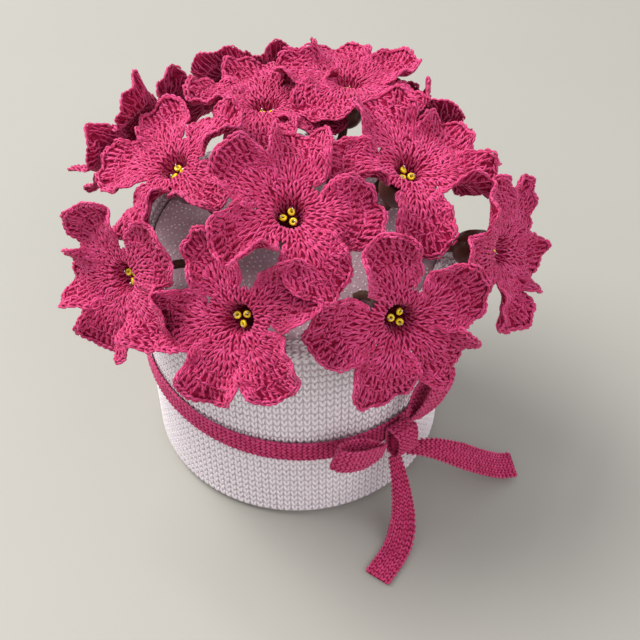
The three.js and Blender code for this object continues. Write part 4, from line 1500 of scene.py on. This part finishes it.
@dataclass
class Ribbon:
    """The ribbon: the band round the pot, and the bow's knot, loops and tails. Sizes in mm."""

    pot_radius: float = 50.0
    gap: float = 0.3
    thickness: float = 1.4
    height: float = 41.0
    sag: float = 5.0
    sag_direction: float = -60.0
    knot_direction: float = -55.0
    knot_radius: float = 55.8
    knot_size: tuple[float, float, float] = (7.5, 10.5, 12.0)

    def level(self, degrees: float) -> float:
        """The ribbon's height on the pot, which is lowest at the bow."""
        return self.height - self.sag * math.cos(math.radians(degrees - self.sag_direction))

    def around(self, degrees: float, radius: float, height: float) -> np.ndarray:
        """A point given round the pot."""
        angle = math.radians(degrees)
        return np.array([radius * math.cos(angle), radius * math.sin(angle), height])

    def build_band(self, shop: Workshop) -> bpy.types.Object:
        """The band, which leans down towards the bow."""
        steps = 144
        radius = self.pot_radius + self.gap + self.thickness / 2
        degrees = np.arange(steps) * 360.0 / steps
        centres = np.array([self.around(d, radius, self.level(d)) for d in degrees]) * MM
        out = np.array([self.around(d, 1.0, 0.0) for d in degrees])
        across = np.tile([0.0, 0.0, 1.0], (steps, 1))
        strap = Strap("crocheted_band", centres, across, out, np.ones(steps), True, 21)
        return installed(strap.build(shop), Slot.RIBBON, "ribbon_band")

    def bow_space(self, points: np.ndarray, shift: tuple[float, float, float], tilt: float,
                  turn: float) -> np.ndarray:
        """Takes points of a loop or the knot to their place at the front of the band."""
        own = Matrix.Rotation(math.radians(turn), 3, "Z")
        lean = Matrix.Rotation(math.radians(tilt), 3, "X")
        bow = Matrix.Rotation(math.radians(self.knot_direction), 3, "Z")
        local = points @ np.array(lean @ own).T + np.array(shift)
        origin = self.around(self.knot_direction, self.knot_radius, self.level(self.knot_direction))
        return local @ np.array(bow).T + origin

    def build_loop(self, shop: Workshop, name: str, node: str, length: float, breadth: float,
                   shift: tuple[float, float, float], tilt: float, turn: float,
                   seed: int) -> bpy.types.Object:
        """A loop of the bow: a drop-shaped ring of strap, pinched at the knot.

        Args:
            shop: the trees and finishes.
            name: the piece's name.
            node: the node that it stands for.
            length: from the knot to the loop's end.
            breadth: the loop's width across.
            shift: where it starts beside the knot.
            tilt: how far it tips.
            turn: the way it points round the knot.
            seed: for its stitches.

        Returns:
            The piece.
        """
        steps = 60
        inset = self.thickness / 2
        angle = 2 * math.pi * (np.arange(steps) + 0.5) / steps
        along = (length / 2 - inset) * (1 - np.cos(angle)) + inset
        wide = (breadth / 2 - inset) * np.sin(angle) * np.sin(angle / 2) ** 0.7
        local = np.stack([wide, along, np.zeros(steps)], axis=-1)
        centres = self.bow_space(local, shift, tilt, turn)
        upright = self.bow_space(local + np.array([0.0, 0.0, 1.0]), shift, tilt, turn)
        across = unit(upright - centres)
        out = unit(np.cross(across, ahead_on_ring(centres)))
        widths = 0.62 + 0.38 * smooth(along / length, 0.05, 0.45)
        strap = Strap(name, centres * MM, across, out, widths, True, seed)
        return installed(strap.build(shop), Slot.RIBBON, node)

    def build_knot(self, shop: Workshop) -> bpy.types.Object:
        """The knot: a turn of strap wrapped upright over a soft core."""
        steps = 40
        depth, _, height = self.knot_size
        angle = 2 * math.pi * np.arange(steps) / steps
        wrap = 0.55

        def squared(value: np.ndarray) -> np.ndarray:
            """A cosine or sine pushed out towards a square."""
            return np.sign(value) * np.abs(value) ** wrap

        x = (depth / 2 - 0.6) * squared(np.cos(angle))
        z = (height / 2 - 0.6) * squared(np.sin(angle))
        local = np.stack([x, np.zeros(steps), z], axis=-1)
        still = ((0.0, 0.0, 0.0), 0.0, 0.0)
        centres = self.bow_space(local, *still)
        across = unit(self.bow_space(local + np.array([0.0, 1.0, 0.0]), *still) - centres)
        out = unit(np.cross(across, ahead_on_ring(centres)))
        middle = self.bow_space(np.zeros((1, 3)), *still)
        out *= np.sign(np.sum(out * (centres - middle), axis=1, keepdims=True))
        widths = 1.04 - 0.12 * np.cos(angle) ** 2
        strap = Strap("bow_knot_wrap", centres * MM, across, out, widths, True, 23)
        profile = [(0, -4.6), (2.4, -4.3), (2.9, -2.0), (3.0, 0.0), (2.9, 2.0), (2.4, 4.3), (0, 4.6)]
        points, faces = turned(profile, 16)
        stretched = points * np.array([0.85, 1.4, 1.0])
        core = mesh_of("core", self.bow_space(stretched, *still) * MM, faces, shop.ribbon_web_shade)
        return installed(strap.build(shop, (core,)), Slot.RIBBON, "bow_knot")

    def build_tail(self, shop: Workshop, name: str, node: str, side: int, route: list, facing: list,
                   seed: int) -> bpy.types.Object:
        """A tail: a strap that drops from the knot and turns as it runs.

        Args:
            shop: the trees and finishes.
            name: the piece's name.
            node: the node that it stands for.
            side: which side of the knot's middle it leaves from.
            route: the points of its middle after the knot.
            facing: its width direction at even steps.
            seed: for its stitches.

        Returns:
            The piece.
        """
        knot = self.level(self.knot_direction) - self.knot_size[2] / 2 - 1.5
        start = self.around(self.knot_direction, self.knot_radius, knot)
        start = start + self.around(self.knot_direction + 90, side * 2.4, 0)
        centres = spline([tuple(start), *route], 57)
        ahead = unit(np.gradient(centres, axis=0))
        share = np.linspace(0, 1, len(centres))
        steps = np.linspace(0, 1, len(facing))
        across = np.stack([np.interp(share, steps, [f[k] for f in facing]) for k in range(3)], axis=-1)
        across = unit(across - ahead * np.sum(across * ahead, axis=1, keepdims=True))
        out = unit(np.cross(ahead, across))
        widths = np.minimum(1.08, 0.5 + 1.3 * share)
        strap = Strap(name, centres, across, out, widths, False, seed)
        return installed(strap.build(shop), Slot.RIBBON, node)

    def build(self, shop: Workshop) -> None:
        """Builds the ribbon's stretches."""
        self.build_band(shop)
        self.build_knot(shop)
        self.build_loop(shop, "bow_loop_small", "bow_loop_left", 20, 8, (1.2, -7.4, 0.5), -22, 172, 24)
        self.build_loop(shop, "bow_loop_large", "bow_loop_right", 23, 8, (1.2, 2.6, 7.4), 66, -6, 25)
        front = [(32, -53, 19), (33, -58, 7), (31.5, -63, 1.8), (28, -69, 1.1), (23.5, -75, 1.1)]
        right = [(42, -43.5, 27), (52, -41.5, 20), (62, -38.5, 11), (68.5, -36, 5.5), (73.5, -34, 3.2)]
        front_way = [(0.82, 0.57, 0), (1, 0.4, 0), (1, 0.1, 0), (1, -0.5, 0), (0.83, -0.55, 0)]
        right_way = [(0.82, 0.57, 0), (0.2, 0.9, 0.5), (0, 0.9, 0.4), (0.2, 1, 0.1), (0.4, 0.9, 0)]
        self.build_tail(shop, "ribbon_end_front", "ribbon_tail_front", -1, front, front_way, 26)
        self.build_tail(shop, "ribbon_end_right", "ribbon_tail_right", 1, right, right_way, 27)


@dataclass
class Studio:
    """The camera, the soft lights and the pale floor. Sizes in metres."""

    lens: float = 59.06
    eye: tuple[float, float, float] = (0.0, -0.2449, 0.3012)
    down: float = 46.6
    swing: float = 1.82
    floor_colour: tuple[float, float, float] = (0.365, 0.355, 0.315)

    def build_camera(self) -> None:
        """Sets the camera at the photographer's place."""
        data = bpy.data.cameras.new("camera")
        data.lens = self.lens
        data.clip_start = 0.01
        camera = bpy.data.objects.new("camera", data)
        camera.location = self.eye
        camera.rotation_euler = (math.radians(90 - self.down), 0.0, math.radians(-self.swing))
        bpy.context.scene.collection.objects.link(camera)
        bpy.context.scene.camera = camera

    def light(self, name: str, place: tuple[float, float, float], size: float, power: float,
              colour: tuple[float, float, float]) -> None:
        """Adds a square soft light that points at the bouquet."""
        data = bpy.data.lights.new(name, "AREA")
        data.size, data.energy, data.color = size, power, colour
        lamp = bpy.data.objects.new(name, data)
        lamp.location = place
        aim = Vector((0.0, 0.0, 0.07)) - Vector(place)
        lamp.rotation_euler = aim.to_track_quat("-Z", "Y").to_euler()
        bpy.context.scene.collection.objects.link(lamp)

    def build(self) -> None:
        """Builds the lights, the world and the floor."""
        self.light("window", (-0.95, 0.45, 1.45), 1.1, 42.0, (1.0, 0.98, 0.96))
        self.light("bounce", (0.9, -0.9, 0.8), 1.4, 7.0, (1.0, 0.95, 0.93))
        world = bpy.data.worlds.new("room")
        world.use_nodes = True
        background = world.node_tree.nodes["Background"]
        background.inputs["Color"].default_value = (0.93, 0.95, 1.0, 1.0)
        background.inputs["Strength"].default_value = 0.72
        bpy.context.scene.world = world
        bpy.context.scene.view_settings.view_transform = "Standard"
        mesh = bpy.data.meshes.new("floor")
        side = 2.5
        corners = [(-side, -side, 0), (side, -side, 0), (side, side, 0), (-side, side, 0)]
        mesh.from_pydata(corners, [], [(0, 1, 2, 3)])
        shader = Shader("floor_paint")
        tint = shader.ramp(shader.noise(6.0, 2.0), 0.2, 0.8)
        darker = tuple(0.96 * value for value in self.floor_colour)
        shader.paint(shader.mix(tint, darker, self.floor_colour))
        shader.constant(Roughness=0.6)
        mesh.materials.append(shader.material)
        floor = bpy.data.objects.new("floor", mesh)
        bpy.context.scene.collection.objects.link(floor)


def main() -> None:
    """Builds the studio and the bouquet, piece by piece."""
    studio = Studio()
    studio.build_camera()
    shop = Workshop()
    pot = KnittedPot()
    cloth, face, hem = pot.build_cloth(shop), pot.build_face(shop), pot.build_hem(shop)
    pot.build_foam(shop)
    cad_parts["pot_tub"].material_slots[0].material = shop.tub
    Ribbon().build(shop)
    for number, bloom in enumerate(BLOOMS, start=1):
        corolla = Corolla(bloom, number)
        corolla.build(shop)
        backing = Backing(corolla)
        backing.build_cup(shop)
        backing.build_stem(shop)
        backing.build_stamens(shop)
    studio.build()


if __name__ == "__main__":
    logging.basicConfig(level=logging.INFO, format="%(name)s %(message)s")
    main()
